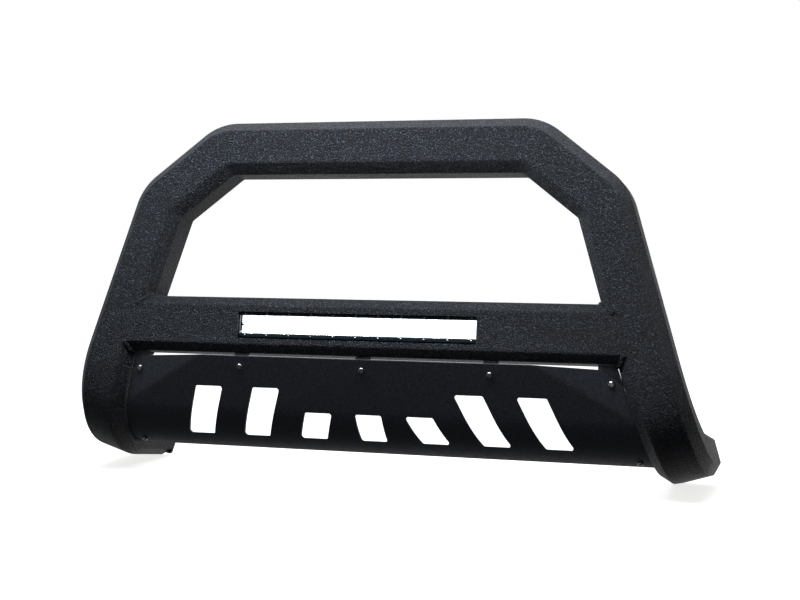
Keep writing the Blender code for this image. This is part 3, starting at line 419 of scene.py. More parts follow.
def ringAt(bm, reach, height, sides):  # verts round Z, at a distance that may vary with the angle
    angles = [2 * pi * index / sides for index in range(sides)]
    reaches = [reach(angle) if callable(reach) else reach for angle in angles]
    return [bm.verts.new((far * cos(angle), far * sin(angle), height)) for far, angle in zip(reaches, angles)]


def skinRings(bm, rings):  # walls between each ring of verts and the next
    for ring, following in zip(rings, rings[1:]):
        for index in range(len(ring)):
            after = (index + 1) % len(ring)
            bm.faces.new((ring[index], ring[after], following[after], following[index]))


# hoop tube

hoop = {
    "splay": radians(17.0),
    "tubeWidth": 0.088,
    "tubeDepth": 0.087,
    "frontFlat": 0.055,
    "sideFlat": 0.047,
    "edgeRadius": 0.0045,
    "wall": 0.003,
    "topHalf": 0.260,
    "cornerOut": 0.1124,
    "cornerDrop": 0.0885,
    "innerBend": 0.008,
    "legBend": 0.1375,
    "bendSqueeze": 0.14,
    "shoulder": 0.3784,
    "frontY": -0.290,
    "endY": -0.0063,
    "bendSteps": 30,
    "arcRise": 0.0007,  # how far finer bends would otherwise stand past the CAD's flats
}
splay = hoop["splay"]
frontY = hoop["frontY"]
midY = frontY + hoop["tubeDepth"] / 2
legLength = hoop["shoulder"] / cos(splay)
bendStart = legLength - hoop["legBend"]
chamferAcross = (hoop["tubeWidth"] - hoop["frontFlat"]) / 2
chamferBack = (hoop["tubeDepth"] - hoop["sideFlat"]) / 2


def legPoint(across, down):  # on the right leg: across its width, and down from the shoulder
    shoulder = Vector((hoop["topHalf"] + hoop["cornerOut"], 0.0, hoop["shoulder"]))
    outwards = Vector((cos(splay), 0.0, sin(splay)))
    return shoulder + outwards * across + Vector((sin(splay), 0.0, -cos(splay))) * down


runX = legPoint(0.0, legLength).x


def legAt(across, z):  # how far out the leg's line at that offset lies, at a height
    top = legPoint(across, 0.0)
    return top.x + (top.z - z) * tan(splay)


def flattenBend(bm):  # a formed bend is thinner: its inner wall comes nearer the outer one
    shoulder = legPoint(0.0, 0.0)
    down = (legPoint(0.0, 1.0) - shoulder).normalized()
    bendY = midY + hoop["legBend"]
    outer = hoop["legBend"] + hoop["tubeDepth"] / 2
    for vert in bm.verts:
        past = (vert.co - shoulder).dot(down) - bendStart
        if past <= 0:
            continue
        ahead = max(bendY - vert.co.y, 0.0)
        radius = sqrt(past**2 + ahead**2)
        inwards = (down * past - Vector((0.0, ahead, 0.0))) / radius
        vert.co += inwards * (outer - radius) * hoop["bendSqueeze"] * atan2(past, ahead) / (pi / 2)


def hoopTree():  # an octagon with unequal chamfers, swept along a line whose corners are bends
    tree, inlet, outlet = newTree("hoop tube", (
        ("Width", "NodeSocketFloat"), ("Depth", "NodeSocketFloat"), ("Chamfer", "NodeSocketFloat"),
        ("Stretch", "NodeSocketVector"), ("Edge radius", "NodeSocketFloat"), ("Bend steps", "NodeSocketInt")))
    line = addNode(tree, "GeometryNodeMeshToCurve", {"Mesh": inlet.outputs["Geometry"]})
    bend = addNode(tree, "GeometryNodeInputNamedAttribute", {"Name": "bendRadius"}, data_type="FLOAT")
    path = addNode(tree, "GeometryNodeFilletCurve", {
        "Curve": line.outputs[0], "Count": inlet.outputs["Bend steps"],
        "Radius": bend.outputs[0]}, mode="POLY")
    square = addNode(tree, "GeometryNodeCurvePrimitiveQuadrilateral", {"Width": inlet.outputs["Depth"],
                                                                      "Height": inlet.outputs["Width"]})
    octagon = addNode(tree, "GeometryNodeFilletCurve", {"Curve": square.outputs[0], "Count": 1,
                                                        "Radius": inlet.outputs["Chamfer"]}, mode="POLY")
    stretched = addNode(tree, "GeometryNodeTransform", {"Geometry": octagon.outputs[0],
                                                        "Scale": inlet.outputs["Stretch"]})
    section = addNode(tree, "GeometryNodeFilletCurve", {"Curve": stretched.outputs[0], "Count": 5,
                                                        "Radius": inlet.outputs["Edge radius"]}, mode="POLY")
    swept = addNode(tree, "GeometryNodeCurveToMesh", {"Curve": path.outputs[0],
                                                      "Profile Curve": section.outputs[0]})
    endTree(tree, outlet, swept.outputs[0], coarseBlack)
    return tree


def makeHoop():
    top = hoop["shoulder"] + hoop["cornerDrop"]
    corners = [(0.0, midY, top), (hoop["topHalf"], midY, top),
               (hoop["topHalf"] + hoop["cornerOut"], midY, hoop["shoulder"]), (runX, midY, 0.0),
               (runX, hoop["endY"], 0.0)]
    cornerBend = hoop["innerBend"] + hoop["tubeWidth"] / 2
    path = helper("hoop_path", pointsMesh("hoop_path", corners, chain=True,
                                          radii=[0.0, cornerBend, cornerBend, hoop["legBend"], 0.0]))
    stretch = chamferBack / chamferAcross
    mesh = runTree(path, hoopTree(), {
        "Width": hoop["tubeWidth"] - 2 * hoop["arcRise"],
        "Depth": (hoop["tubeDepth"] - 2 * hoop["arcRise"]) / stretch, "Chamfer": chamferAcross,
        "Stretch": (stretch, 1.0, 1.0), "Edge radius": hoop["edgeRadius"], "Bend steps": hoop["bendSteps"]})
    bm = bmesh.new()
    bm.from_mesh(mesh)
    bmesh.ops.remove_doubles(bm, verts=bm.verts, dist=0.00001)
    if max(bm.faces, key=lambda face: face.calc_center_median().z).normal.z < 0:
        bmesh.ops.reverse_faces(bm, faces=bm.faces)
    flattenBend(bm)
    half = helper("hoop_half", meshFrom(bm, "hoop_half"))
    addModifier(half, "other half", "MIRROR", merge_threshold=0.0001)
    addModifier(half, "wall", "SOLIDIFY", thickness=hoop["wall"], offset=-1.0)
    mesh = plainMesh(half)
    mesh.transform(leanBack)
    return addPiece("hoop_tube_formed", mesh, coarseBlack, "guard", ("hoop_tube",), smoothAngle=40.0)


hoopPiece = makeHoop()
print("hoop made:", len(hoopPiece.data.polygons), "faces")

# crossbar

bar = {
    "foot": 0.1429,
    "flat": 0.0616,
    "foldUp": 0.0149,
    "foldBack": 0.0126,
    "depth": 0.080,
    "wall": 0.003,
    "foldRadius": 0.0055,
    "window": (0.400, 0.0430),
    "windowX": -0.013,
    "windowRise": 0.0306,
    "windowRadius": 0.0035,
    "intoLeg": 0.004,
    "intoLegSide": 0.001,
    "edge": 0.0006,
}


def foldedLine(corners, radius, steps):  # an open line of points with its inner corners rounded
    points = [Vector(corners[0])]
    for before, corner, after in zip(corners, corners[1:], corners[2:]):
        points += cornerArc(before, corner, after, radius, steps)
    return points + [Vector(corners[-1])]


def legCope(side):  # trims the crossbar's end just inside the leg, so that the ground weld leaves no seam
    flatX = -hoop["frontFlat"] / 2 + bar["intoLeg"]
    sideX = -hoop["tubeWidth"] / 2 + bar["intoLegSide"]
    past = 0.3  # beyond everything it has to trim
    outline = [(flatX, frontY - 0.05), (flatX, frontY), (sideX, frontY + chamferBack),
               (sideX, frontY + past), (past, frontY + past), (past, frontY - 0.05)]
    height = bar["foot"] + bar["windowRise"]
    middle = legPoint(0.0, (hoop["shoulder"] - height) / cos(splay))
    cope = prism("cope", [(side * x, y) for x, y in outline], -0.2, 0.2, axis="Z")
    turn = Matrix.Rotation(-side * splay, 4, "Y")
    cope.transform(Matrix.Translation((side * middle.x, middle.y, middle.z)) @ turn)
    return helper(f"cope_{side}", cope)


def makeCrossbar():
    low, high = bar["foot"], bar["foot"] + bar["flat"]
    line = foldedLine([
        (frontY + bar["depth"], low - bar["foldUp"]), (frontY + bar["foldBack"], low - bar["foldUp"]),
        (frontY, low), (frontY, high), (frontY + bar["foldBack"], high + bar["foldUp"]),
        (frontY + bar["depth"], high + bar["foldUp"])], bar["foldRadius"], 6)
    reach = legAt(0.0, low)
    bm = bmesh.new()
    rows = [[bm.verts.new((x, y, z)) for y, z in line] for x in (-reach, reach)]
    for index in range(len(line) - 1):
        bm.faces.new((rows[0][index], rows[1][index], rows[1][index + 1], rows[0][index + 1]))
    bmesh.ops.recalc_face_normals(bm, faces=bm.faces)
    if min(bm.faces, key=lambda face: face.calc_center_median().y).normal.y > 0:
        bmesh.ops.reverse_faces(bm, faces=bm.faces)
    sheet = helper("crossbar", meshFrom(bm, "crossbar"))
    addModifier(sheet, "wall", "SOLIDIFY", thickness=bar["wall"], offset=-1.0)
    wide, tall = bar["window"]
    corners = [(-wide / 2, -tall / 2), (wide / 2, -tall / 2), (wide / 2, tall / 2), (-wide / 2, tall / 2)]
    centre = Vector((bar["windowX"], bar["foot"] + bar["windowRise"]))
    outline = [point + centre for point in roundedOutline(corners, bar["windowRadius"], 5)]
    window = helper("window", prism("window", outline, frontY - 0.02, frontY + 0.02))
    tools = [legCope(-1), legCope(1), window]
    mesh = cutAll(sheet, tools, bar["edge"], 3)
    return addPiece("crossbar_folded", mesh, coarseBlack, "guard", ("crossbar_shell",))


barPiece = makeCrossbar()
print("crossbar made:", len(barPiece.data.polygons), "faces")

# skid plate

skid = {
    "sheet": 0.003,
    "topDrop": 0.0208,
    "foldDrop": 0.100,
    "footDrop": 0.167,
    "behindLeg": 0.006,
    "sideGap": 0.0003,  # less than the CAD's by about as much as the visual tube is slimmer
    "footSteps": 18,
    "creaseTopX": 0.280,
    "cutX": 0.381,
    "cutDrop": 0.048,
    "cornerBack": 0.0272,
    "creaseWidth": 0.004,
    "slotRadius": 0.0035,
    "slotSideSteps": 6,
    "middleSlotHalf": 0.0224,
    "tallDrops": (0.0692, 0.1465),
    "shortDrops": (0.1062, 0.1470),
    "hole": 0.0068,
    "edge": 0.0005,
    "cutTopBelow": 0.003,
}


def chamferRearY(z):  # depth of the curved foot, which follows the legs' bend a little way behind
    radius = hoop["legBend"] + hoop["tubeDepth"] / 2 - chamferBack - skid["behindLeg"]
    along = max((legPoint(-hoop["tubeWidth"] / 2, bendStart).z - z) / cos(splay), 0.0)
    return frontY + chamferBack + skid["behindLeg"] + radius - sqrt(radius**2 - along**2)


def skidPoint(x, drop, y=None):
    if y is None:
        share = min((drop - skid["topDrop"]) / (skid["foldDrop"] - skid["topDrop"]), 1.0)
        foldY = chamferRearY(bar["foot"] - skid["foldDrop"])
        y = frontY + (foldY - frontY) * share if share < 1.0 else chamferRearY(bar["foot"] - drop)
    return Vector((x, y, bar["foot"] - drop))


def skidSide(drop):
    return legAt(-hoop["tubeWidth"] / 2, bar["foot"] - drop) - skid["sideGap"]


def cornerPoint(x, drop):  # on the right-hand corner, bent back along its crease
    start = skidPoint(skid["creaseTopX"], skid["topDrop"])
    end = skidPoint(skidSide(skid["foldDrop"]), skid["foldDrop"])
    outer = skidPoint(skidSide(skid["cutDrop"]), skid["cutDrop"], frontY + skid["cornerBack"])
    normal = (end - start).cross(outer - start).normalized()
    z = bar["foot"] - drop
    return Vector((x, start.y - (normal.x * (x - start.x) + normal.z * (z - start.z)) / normal.y, z))


def footDrops():  # rows of the curved foot, evenly spaced round its bend
    start = legPoint(-hoop["tubeWidth"] / 2, bendStart).z
    reach = (hoop["legBend"] + hoop["tubeDepth"] / 2 - chamferBack - skid["behindLeg"]) * cos(splay)
    first = asin((start - bar["foot"] + skid["foldDrop"]) / reach)
    last = asin((start - bar["foot"] + skid["footDrop"]) / reach)
    steps = skid["footSteps"]
    angles = [first + (last - first) * step / steps for step in range(steps + 1)]
    return [bar["foot"] - start + reach * sin(angle) for angle in angles]


def blankLength(drop, steps=24):  # length of sheet from the top edge down to a drop, round the foot
    start = min(drop, skid["foldDrop"])
    points = [skidPoint(0.0, start + (drop - start) * step / steps) for step in range(steps + 1)]
    length = (points[0] - skidPoint(0.0, skid["topDrop"])).length
    return length + sum((after - before).length for before, after in zip(points, points[1:]))


def slotSide(topX, footX, drops):  # straight in the flat blank, and so bowed once the foot is curved
    start, end = (blankLength(drop) for drop in drops)
    side = []
    for step in range(skid["slotSideSteps"] + 1):
        drop = drops[0] + (drops[1] - drops[0]) * step / skid["slotSideSteps"]
        share = (blankLength(drop) - start) / (end - start)
        side.append((topX + (footX - topX) * share, bar["foot"] - drop))
    return side


def slotOutlines():  # three leaning outwards on each side, one upright in the middle
    half = skid["middleSlotHalf"]
    shapes = [(-half, half, -half, half, skid["shortDrops"])]
    shapes += [(0.2465, 0.2950, 0.2838, 0.3306, skid["tallDrops"]),
               (0.1460, 0.1938, 0.1832, 0.2300, skid["tallDrops"]),
               (0.0616, 0.1084, 0.0816, 0.1292, skid["shortDrops"])]
    outlines = []
    for inner, outer, innerFoot, outerFoot, drops in shapes:
        points = slotSide(inner, innerFoot, drops) + slotSide(outer, outerFoot, drops)[::-1]
        right = roundedOutline(points, skid["slotRadius"], 6, gentle=radians(40.0))
        outlines.append(right)
        if inner > 0:
            outlines.append([(-x, z) for x, z in reversed(right)])
    return outlines


def screwPlaces():  # where each screw sits and the way it faces, from its CAD washer and nut
    places = {}
    for name in ("centre_left", "centre_middle", "centre_right", "upper_left", "upper_right",
                 "lower_left", "lower_right"):
        washer, nut = boxMiddle(f"{name}_washer"), boxMiddle(f"{name}_nut")
        places[name] = (washer, (washer - nut).normalized())
    return places


def makeSkidPlate():
    bm = bmesh.new()
    drops = footDrops()
    topMiddle = bm.verts.new(skidPoint(0.0, skid["topDrop"]))
    crease = bm.verts.new(skidPoint(skid["creaseTopX"], skid["topDrop"]))
    cutTop = bm.verts.new(cornerPoint(skid["cutX"], skid["topDrop"] + skid["cutTopBelow"]))
    cutSide = bm.verts.new(cornerPoint(skidSide(skid["cutDrop"]), skid["cutDrop"]))
    middles = [bm.verts.new(skidPoint(0.0, drop)) for drop in drops]
    sides = [bm.verts.new(skidPoint(skidSide(drop), drop)) for drop in drops]
    bm.faces.new((topMiddle, middles[0], sides[0], crease))
    bm.faces.new((crease, sides[0], cutSide, cutTop))
    for index in range(len(drops) - 1):
        bm.faces.new((middles[index], middles[index + 1], sides[index + 1], sides[index]))
    bmesh.ops.recalc_face_normals(bm, faces=bm.faces)
    bm.faces.ensure_lookup_table()
    if bm.faces[0].normal.y > 0:
        bmesh.ops.reverse_faces(bm, faces=bm.faces)
    fold = [edge for edge in bm.edges if set(edge.verts) == {crease, sides[0]}]
    bmesh.ops.bevel(bm, geom=fold, offset=skid["creaseWidth"], offset_type="OFFSET", segments=4, profile=0.5,
                    affect="EDGES", clamp_overlap=True)
    plate = helper("skid_plate_half", meshFrom(bm, "skid_plate_half"))
    addModifier(plate, "other half", "MIRROR", merge_threshold=0.0001)
    addModifier(plate, "wall", "SOLIDIFY", thickness=skid["sheet"], offset=-1.0, use_even_offset=True)
    tools = [helper(f"slot_{index}", prism("slot", outline, frontY - 0.05, frontY + 0.2))
             for index, outline in enumerate(slotOutlines())]
    for name, (place, facing) in screwPlaces().items():
        radius = skid["hole"] / 2
        hole = turnedMesh("hole", [(0.0, 0.02), (radius, 0.02), (radius, -0.02), (0.0, -0.02)], 24)
        turn = facing.to_track_quat("Z", "Y").to_matrix().to_4x4()
        hole.transform(leanBack.inverted() @ Matrix.Translation(place) @ turn)
        tools.append(helper(f"{name}_hole", hole))
    mesh = cutAll(plate, tools, skid["edge"], 2)
    return addPiece("skid_plate_formed", mesh, satinBlack, "guard", ("skid_plate",))


platePiece = makeSkidPlate()
print("skid plate made:", len(platePiece.data.polygons), "faces")

# tabs, end plates, brackets and weld nuts

def addSoftened(name, nodes, finish, body, width, segments=2, angle=32.0):
    addPiece(name, softenedMesh(name, nodes, width, segments, angle), finish, body, nodes)


weldNuts = [f"{side}_weld_nut_{index}" for side in ("left", "right") for index in (1, 2)]
addSoftened("skid_plate_tabs", [f"{name}_tab" for name in screwPlaces()], satinBlack, "guard", 0.0006)
addSoftened("mounting_plates", ["left_end_plate", "right_end_plate"], coarseBlack, "guard", 0.0009, 3)
addSoftened("mounting_weld_nuts", weldNuts, zinc, "guard", 0.0008)
addSoftened("light_brackets", ["light_bracket_left", "light_bracket_right"], satinBlack, "guard", 0.0005)

# screws, washers and lock nuts of the skid plate

fastener = {
    "head": 0.0105,
    "headHigh": 0.0033,
    "thread": 0.006,
    "threadDeep": 0.00055,
    "pitch": 0.001,
    "shank": 0.018,
    "socketAcross": 0.0046,
    "socketDeep": 0.0024,
    "nutAcross": 0.010,
    "nutHigh": 0.006,
    "washer": 0.012,
    "washerThick": 0.0016,
    "play": 0.0003,
    "collar": (0.0033, 0.0042, 0.0012),  # inner and outer radius, and height
    "collarSunk": 0.0008,
}


def spreadTree(name, finish):  # one shape set on each point, turned to face its way
    tree, inlet, outlet = newTree(name, (("Shape", "NodeSocketObject"), ("Size", "NodeSocketFloat"),
                                         ("Turn spread", "NodeSocketFloat"), ("Seed", "NodeSocketInt")))
    shape = addNode(tree, "GeometryNodeObjectInfo", {"Object": inlet.outputs["Shape"]})
    way = addNode(tree, "GeometryNodeInputNamedAttribute", {"Name": "facing"}, data_type="FLOAT_VECTOR")
    aim = addNode(tree, "FunctionNodeAlignRotationToVector", {"Vector": way.outputs[0]}, axis="Z")
    spin = addNode(tree, "FunctionNodeRandomValue", {2: 0.0, 3: inlet.outputs["Turn spread"],
                                                     "Seed": inlet.outputs["Seed"]}, data_type="FLOAT")
    about = addNode(tree, "FunctionNodeAxisAngleToRotation", {
        "Axis": (0.0, 0.0, 1.0), "Angle": spin.outputs[1]})
    turned = addNode(tree, "FunctionNodeRotateRotation", {
        "Rotation": aim.outputs[0], "Rotate By": about.outputs[0]}, rotation_space="LOCAL")
    size = addNode(tree, "ShaderNodeCombineXYZ", {"X": inlet.outputs["Size"], "Y": inlet.outputs["Size"],
                                                  "Z": inlet.outputs["Size"]})
    copies = addNode(tree, "GeometryNodeInstanceOnPoints", {
        "Points": inlet.outputs["Geometry"], "Instance": shape.outputs["Geometry"],
        "Rotation": turned.outputs[0], "Scale": size.outputs[0]})
    endTree(tree, outlet, copies.outputs[0], finish)
    return tree


def spread(name, shapeMesh, finish, places, body, stoodFor=(), size=1.0, turn=6.28, seed=3, smoothAngle=30.0):
    shape = helper(f"{name}_shape", shapeMesh)
    points = helper(f"{name}_points", pointsMesh(name, [place for place, _ in places],
                                                 facings=[facing for _, facing in places]))
    mesh = runTree(points, spreadTree(name, finish), {
        "Shape": shape, "Size": size, "Turn spread": turn, "Seed": seed})
    bpy.data.objects.remove(shape, do_unlink=True)
    return addPiece(name, mesh, finish, body, stoodFor, smoothAngle=smoothAngle)


def hexReach(point, angle):  # from the middle to the side of a hexagon, whose corners are at point
    return point * cos(pi / 6) / cos((angle + pi / 6) % (pi / 3) - pi / 6)


def screwMesh():  # button head with a hexagon socket, and a rolled thread below
    head, high = fastener["head"] / 2, fastener["headHigh"]
    socket = fastener["socketAcross"] / 2 / cos(pi / 6)
    hexagon = partial(hexReach, socket)
    sides = 24
    dome = [(head * cos(angle) ** 0.62, high * (0.12 + 0.88 * sin(angle)))
            for angle in (radians(step * 9.0) for step in range(1, 7))]
    turns = int((fastener["shank"] - 0.001) / fastener["pitch"])
    crest = fastener["thread"] / 2
    root = crest - fastener["threadDeep"]
    shank = []
    for index in range(turns):
        top = -index * fastener["pitch"]
        shank += [(root, top - 0.0002), (crest, top - 0.0005), (crest, top - 0.0006)]
    shank.append((root - 0.0004, -fastener["shank"]))
    rings = shank[::-1] + [(crest, 0.0), (head - 0.0004, 0.0), (head, high * 0.12)] + dome
    rings += [(socket + 0.0005, high), (hexagon, high), (hexagon, high - fastener["socketDeep"])]
    bm = bmesh.new()
    loops = [ringAt(bm, reach, height, sides) for reach, height in rings]
    skinRings(bm, loops)
    bm.faces.new(loops[0])
    bm.faces.new(loops[-1])
    bmesh.ops.recalc_face_normals(bm, faces=bm.faces)
    return meshFrom(bm, "screw")


def hexNutMesh(across, high, bore, chamfer, sides=36):  # a hexagon prism with turned-off corners
    bm = bmesh.new()
    hexagon = partial(hexReach, across / 2 / cos(pi / 6))
    face = across / 2 - chamfer * 0.3
    rings = [(bore, high / 2), (face, high / 2), (hexagon, high / 2 - chamfer),
             (hexagon, -high / 2 + chamfer), (face, -high / 2), (bore, -high / 2)]
    loops = [ringAt(bm, reach, height, sides) for reach, height in rings]
    skinRings(bm, loops + loops[:1])
    bmesh.ops.recalc_face_normals(bm, faces=bm.faces)
    return meshFrom(bm, "nut")


def washerMesh(outer, bore, thick):
    edge = thick * 0.2
    return turnedMesh("washer", [
        (bore, thick / 2 - edge), (bore + edge, thick / 2), (outer - edge, thick / 2),
        (outer, thick / 2 - edge),
        (outer, edge - thick / 2), (outer - edge, -thick / 2), (bore + edge, -thick / 2),
        (bore, edge - thick / 2), (bore, thick / 2 - edge)], 32)


places = screwPlaces()
heads = []
for name, (_, facing) in places.items():
    ahead = (fastener["shank"] - fastener["headHigh"] + fastener["play"]) / 2  # to under its head
    heads.append((boxMiddle(f"{name}_screw") + facing * ahead, facing))
spread("skid_plate_screws", screwMesh(), stainless, heads, "guard", [f"{name}_screw" for name in places])
bore = fastener["thread"] / 2 + fastener["play"]
spread("skid_plate_washers", washerMesh(fastener["washer"] / 2, bore, fastener["washerThick"]), zinc,
       list(places.values()), "guard", [f"{name}_washer" for name in places])
nutPlaces = [(boxMiddle(f"{name}_nut"), facing) for name, (_, facing) in places.items()]
lockNut = hexNutMesh(fastener["nutAcross"], fastener["nutHigh"], bore, 0.0009)
spread("skid_plate_lock_nuts", lockNut, zinc, nutPlaces, "guard", [f"{name}_nut" for name in places])
inside, outside, tall = fastener["collar"]
collar = turnedMesh("collar", [
    (inside, 0.0), (outside, 0.0), (outside, -tall), (inside, -tall), (inside, 0.0)], 32)
collarAhead = fastener["nutHigh"] / 2 - fastener["collarSunk"]
spread("lock_nut_inserts", collar, blueNylon,
       [(place - facing * collarAhead, facing) for place, facing in nutPlaces], "guard")
print("fasteners made")

# light bar

lamp = {
    "columns": 14,
    "rows": 2,
    "lensWide": 0.402,
    "lensTall": 0.031,
    "bezelScrews": 11,
    "bezelPitch": 0.038,
    "bezelScrewRadius": 0.0015,
    "bezelScrewHigh": 0.0009,
    "bezelScrewAhead": 0.0020,
    "bezelRail": 0.0355,  # from the lower row of screws to the upper
    "cupMargins": (0.006, 0.002),
    "cupDeep": 0.0095,
    "throat": 0.0030,
    "die": 0.0036,
    "dieHigh": 0.0008,
    "dieAhead": 0.0018,
}
for name, nodes, finish, width, segments, angle in (
        ("light_housing_extruded", ("light_housing",), anodised, 0.0006, 2, 32.0),
        ("light_end_caps", ("light_end_cap_left", "light_end_cap_right"), anodised, 0.0009, 3, 32.0),
        ("light_bezel_frame", ("light_bezel",), bezelPaint, 0.0008, 3, 32.0),
        ("light_lens_moulded", ("light_lens",), clearLens, 0.0005, 2, 32.0),
        ("light_aim_bolts", ("left_aim_bolt", "right_aim_bolt"), stainless, 0.0004, 2, 32.0),
        ("light_aim_washers", ("left_aim_washer", "right_aim_washer"), zinc, 0.0003, 2, 50.0),
        ("light_back_fittings", ("cable_gland", "breather_valve"), blackNylon, 0.0003, 2, 40.0)):
    addSoftened(name, nodes, finish, "light", width, segments, angle)


def gridTree(name, finish):  # a shape repeated in rows and columns on the lamp's own plane
    tree, inlet, outlet = newTree(name, (
        ("Shape", "NodeSocketObject"), ("Columns", "NodeSocketInt"), ("Rows", "NodeSocketInt"),
        ("Wide", "NodeSocketFloat"), ("Tall", "NodeSocketFloat")))
    shape = addNode(tree, "GeometryNodeObjectInfo", {"Object": inlet.outputs["Shape"]})
    grid = addNode(tree, "GeometryNodeMeshGrid", {
        "Size X": inlet.outputs["Wide"], "Size Y": inlet.outputs["Tall"],
        "Vertices X": inlet.outputs["Columns"], "Vertices Y": inlet.outputs["Rows"]})
    copies = addNode(tree, "GeometryNodeInstanceOnPoints", {"Points": grid.outputs["Mesh"],
                                                            "Instance": shape.outputs["Geometry"]})
    endTree(tree, outlet, copies.outputs[0], finish)
    return tree


def repeatInGrid(name, shapeMesh, finish, middle, pitch, stoodFor=(), columns=None, rows=None):
    shape = helper(f"{name}_shape", shapeMesh)
    columns, rows = columns or lamp["columns"], rows or lamp["rows"]
    mesh = runTree(helper(f"{name}_grid", pointsMesh(name, [(0.0, 0.0, 0.0)])), gridTree(name, finish), {
        "Shape": shape, "Columns": columns, "Rows": rows,
        "Wide": pitch[0] * (columns - 1), "Tall": pitch[1] * (rows - 1)})
    bpy.data.objects.remove(shape, do_unlink=True)
    facing = Matrix.Rotation(pi / 2, 4, "X")  # the grid's Z turns to the lamp's front
    mesh.transform(Matrix.Translation(middle) @ leanBack @ facing)
    return addPiece(name, mesh, finish, "light", stoodFor)


def cupMesh(pitch, deep):  # a square-rimmed reflector cup with a round throat, Z towards the front
    sides, steps = 24, 6
    bm = bmesh.new()
    loops = []
    halves = (pitch[0] / 2, pitch[1] / 2)
    for inset in (1.0, 0.93):
        loop = []
        for index in range(sides):
            angle = 2 * pi * (index + 0.5) / sides
            scale = min(halves[0] / max(abs(cos(angle)), 1e-6), halves[1] / max(abs(sin(angle)), 1e-6))
            loop.append(bm.verts.new((scale * cos(angle) * inset, scale * sin(angle) * inset, deep / 2)))
        loops.append(loop)
    rim = min(halves) * 0.9
    for step in range(steps + 1):
        share = step / steps
        radius = rim + (lamp["throat"] - rim) * share ** 0.6
        loops.append([bm.verts.new((radius * cos(2 * pi * (index + 0.5) / sides),
                                    radius * sin(2 * pi * (index + 0.5) / sides), deep / 2 - deep * share))
                      for index in range(sides)])
    skinRings(bm, loops)
    bmesh.ops.recalc_face_normals(bm, faces=bm.faces)
    top = max(bm.faces, key=lambda face: face.calc_center_median().z)
    if top.normal.z < 0:
        bmesh.ops.reverse_faces(bm, faces=bm.faces)
    return meshFrom(bm, "cup")


def dieMesh(size, high):
    outline = roundedOutline([(-size / 2, -size / 2), (size / 2, -size / 2), (size / 2, size / 2),
                              (-size / 2, size / 2)], size * 0.15, 3)
    mesh = prism("die", outline, -high / 2, high / 2)
    mesh.transform(Matrix.Rotation(pi / 2, 4, "X"))
    return mesh


cupPitch = ((lamp["lensWide"] - lamp["cupMargins"][0]) / lamp["columns"],
            (lamp["lensTall"] - lamp["cupMargins"][1]) / lamp["rows"])
repeatInGrid("light_reflector_cups", cupMesh(cupPitch, lamp["cupDeep"]), reflectorMetal,
             boxMiddle("light_reflector"), cupPitch, ("light_reflector",))
outwards = leanBack @ Vector((0.0, -1.0, 0.0))
repeatInGrid("led_dies", dieMesh(lamp["die"], lamp["dieHigh"]), phosphor,
             boxMiddle("led_board") + outwards * lamp["dieAhead"], cupPitch)
for node, finish in (("led_board", whiteMask), ("light_gasket", blackRubber)):
    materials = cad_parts[node].data.materials
    materials.clear()
    materials.append(finish)


def smallScrewMesh(head, high):
    return turnedMesh("small_screw", [
        (0.0, high * 0.5), (head * 0.22, high * 0.5), (head * 0.26, high), (head * 0.62, high * 0.94),
        (head * 0.92, high * 0.6), (head, high * 0.2), (head, -0.0004), (0.0, -0.0004)], 16)


repeatInGrid("bezel_screws", smallScrewMesh(lamp["bezelScrewRadius"], lamp["bezelScrewHigh"]), stainless,
             boxMiddle("light_bezel") + outwards * lamp["bezelScrewAhead"],
             (lamp["bezelPitch"], lamp["bezelRail"]), columns=lamp["bezelScrews"], rows=2)
print("light made")

# weld beads

weld = {
    "radius": 0.0045,
    "ripplePitch": 0.0022,
    "jitter": 0.07,
    "seed": 11,
}


def beadTree():  # overlapping flattened drops along a joint, as a weld's ripples set
    tree, inlet, outlet = newTree("weld bead", (
        ("Radius", "NodeSocketFloat"), ("Pitch", "NodeSocketFloat"), ("Jitter", "NodeSocketFloat"),
        ("Seed", "NodeSocketInt")))
    line = addNode(tree, "GeometryNodeMeshToCurve", {"Mesh": inlet.outputs["Geometry"]})
    path = addNode(tree, "GeometryNodeResampleCurve", {
        "Curve": line.outputs[0], "Length": inlet.outputs["Pitch"]}, mode="LENGTH")
    drop = addNode(tree, "GeometryNodeMeshIcoSphere", {"Radius": inlet.outputs["Radius"], "Subdivisions": 2})
    along = addNode(tree, "GeometryNodeInputTangent")
    aim = addNode(tree, "FunctionNodeAlignRotationToVector", {"Vector": along.outputs[0]}, axis="Z")
    low = addNode(tree, "ShaderNodeMath", {0: 1.0, 1: inlet.outputs["Jitter"]}, operation="SUBTRACT")
    high = addNode(tree, "ShaderNodeMath", {0: 1.0, 1: inlet.outputs["Jitter"]}, operation="ADD")
    vary = addNode(tree, "FunctionNodeRandomValue", {2: low.outputs[0], 3: high.outputs[0],
                                                     "Seed": inlet.outputs["Seed"]}, data_type="FLOAT")
    size = addNode(tree, "ShaderNodeCombineXYZ", {"X": vary.outputs[1], "Y": vary.outputs[1], "Z": 0.8})
    drops = addNode(tree, "GeometryNodeInstanceOnPoints", {
        "Points": path.outputs[0], "Instance": drop.outputs["Mesh"], "Rotation": aim.outputs[0],
        "Scale": size.outputs[0]})
    endTree(tree, outlet, drops.outputs[0], coarseBlack)
    return tree


def jointPoint(side, back, upper):  # on the line where the crossbar's folded edge meets the leg
    rise = bar["foldUp"] * min(back / bar["foldBack"], 1.0)
    z = bar["foot"] + bar["flat"] + rise if upper else bar["foot"] - rise
    across = -hoop["frontFlat"] / 2 - chamferAcross * min(back / chamferBack, 1.0)
    return Vector((side * legAt(across, z), frontY + back, z))


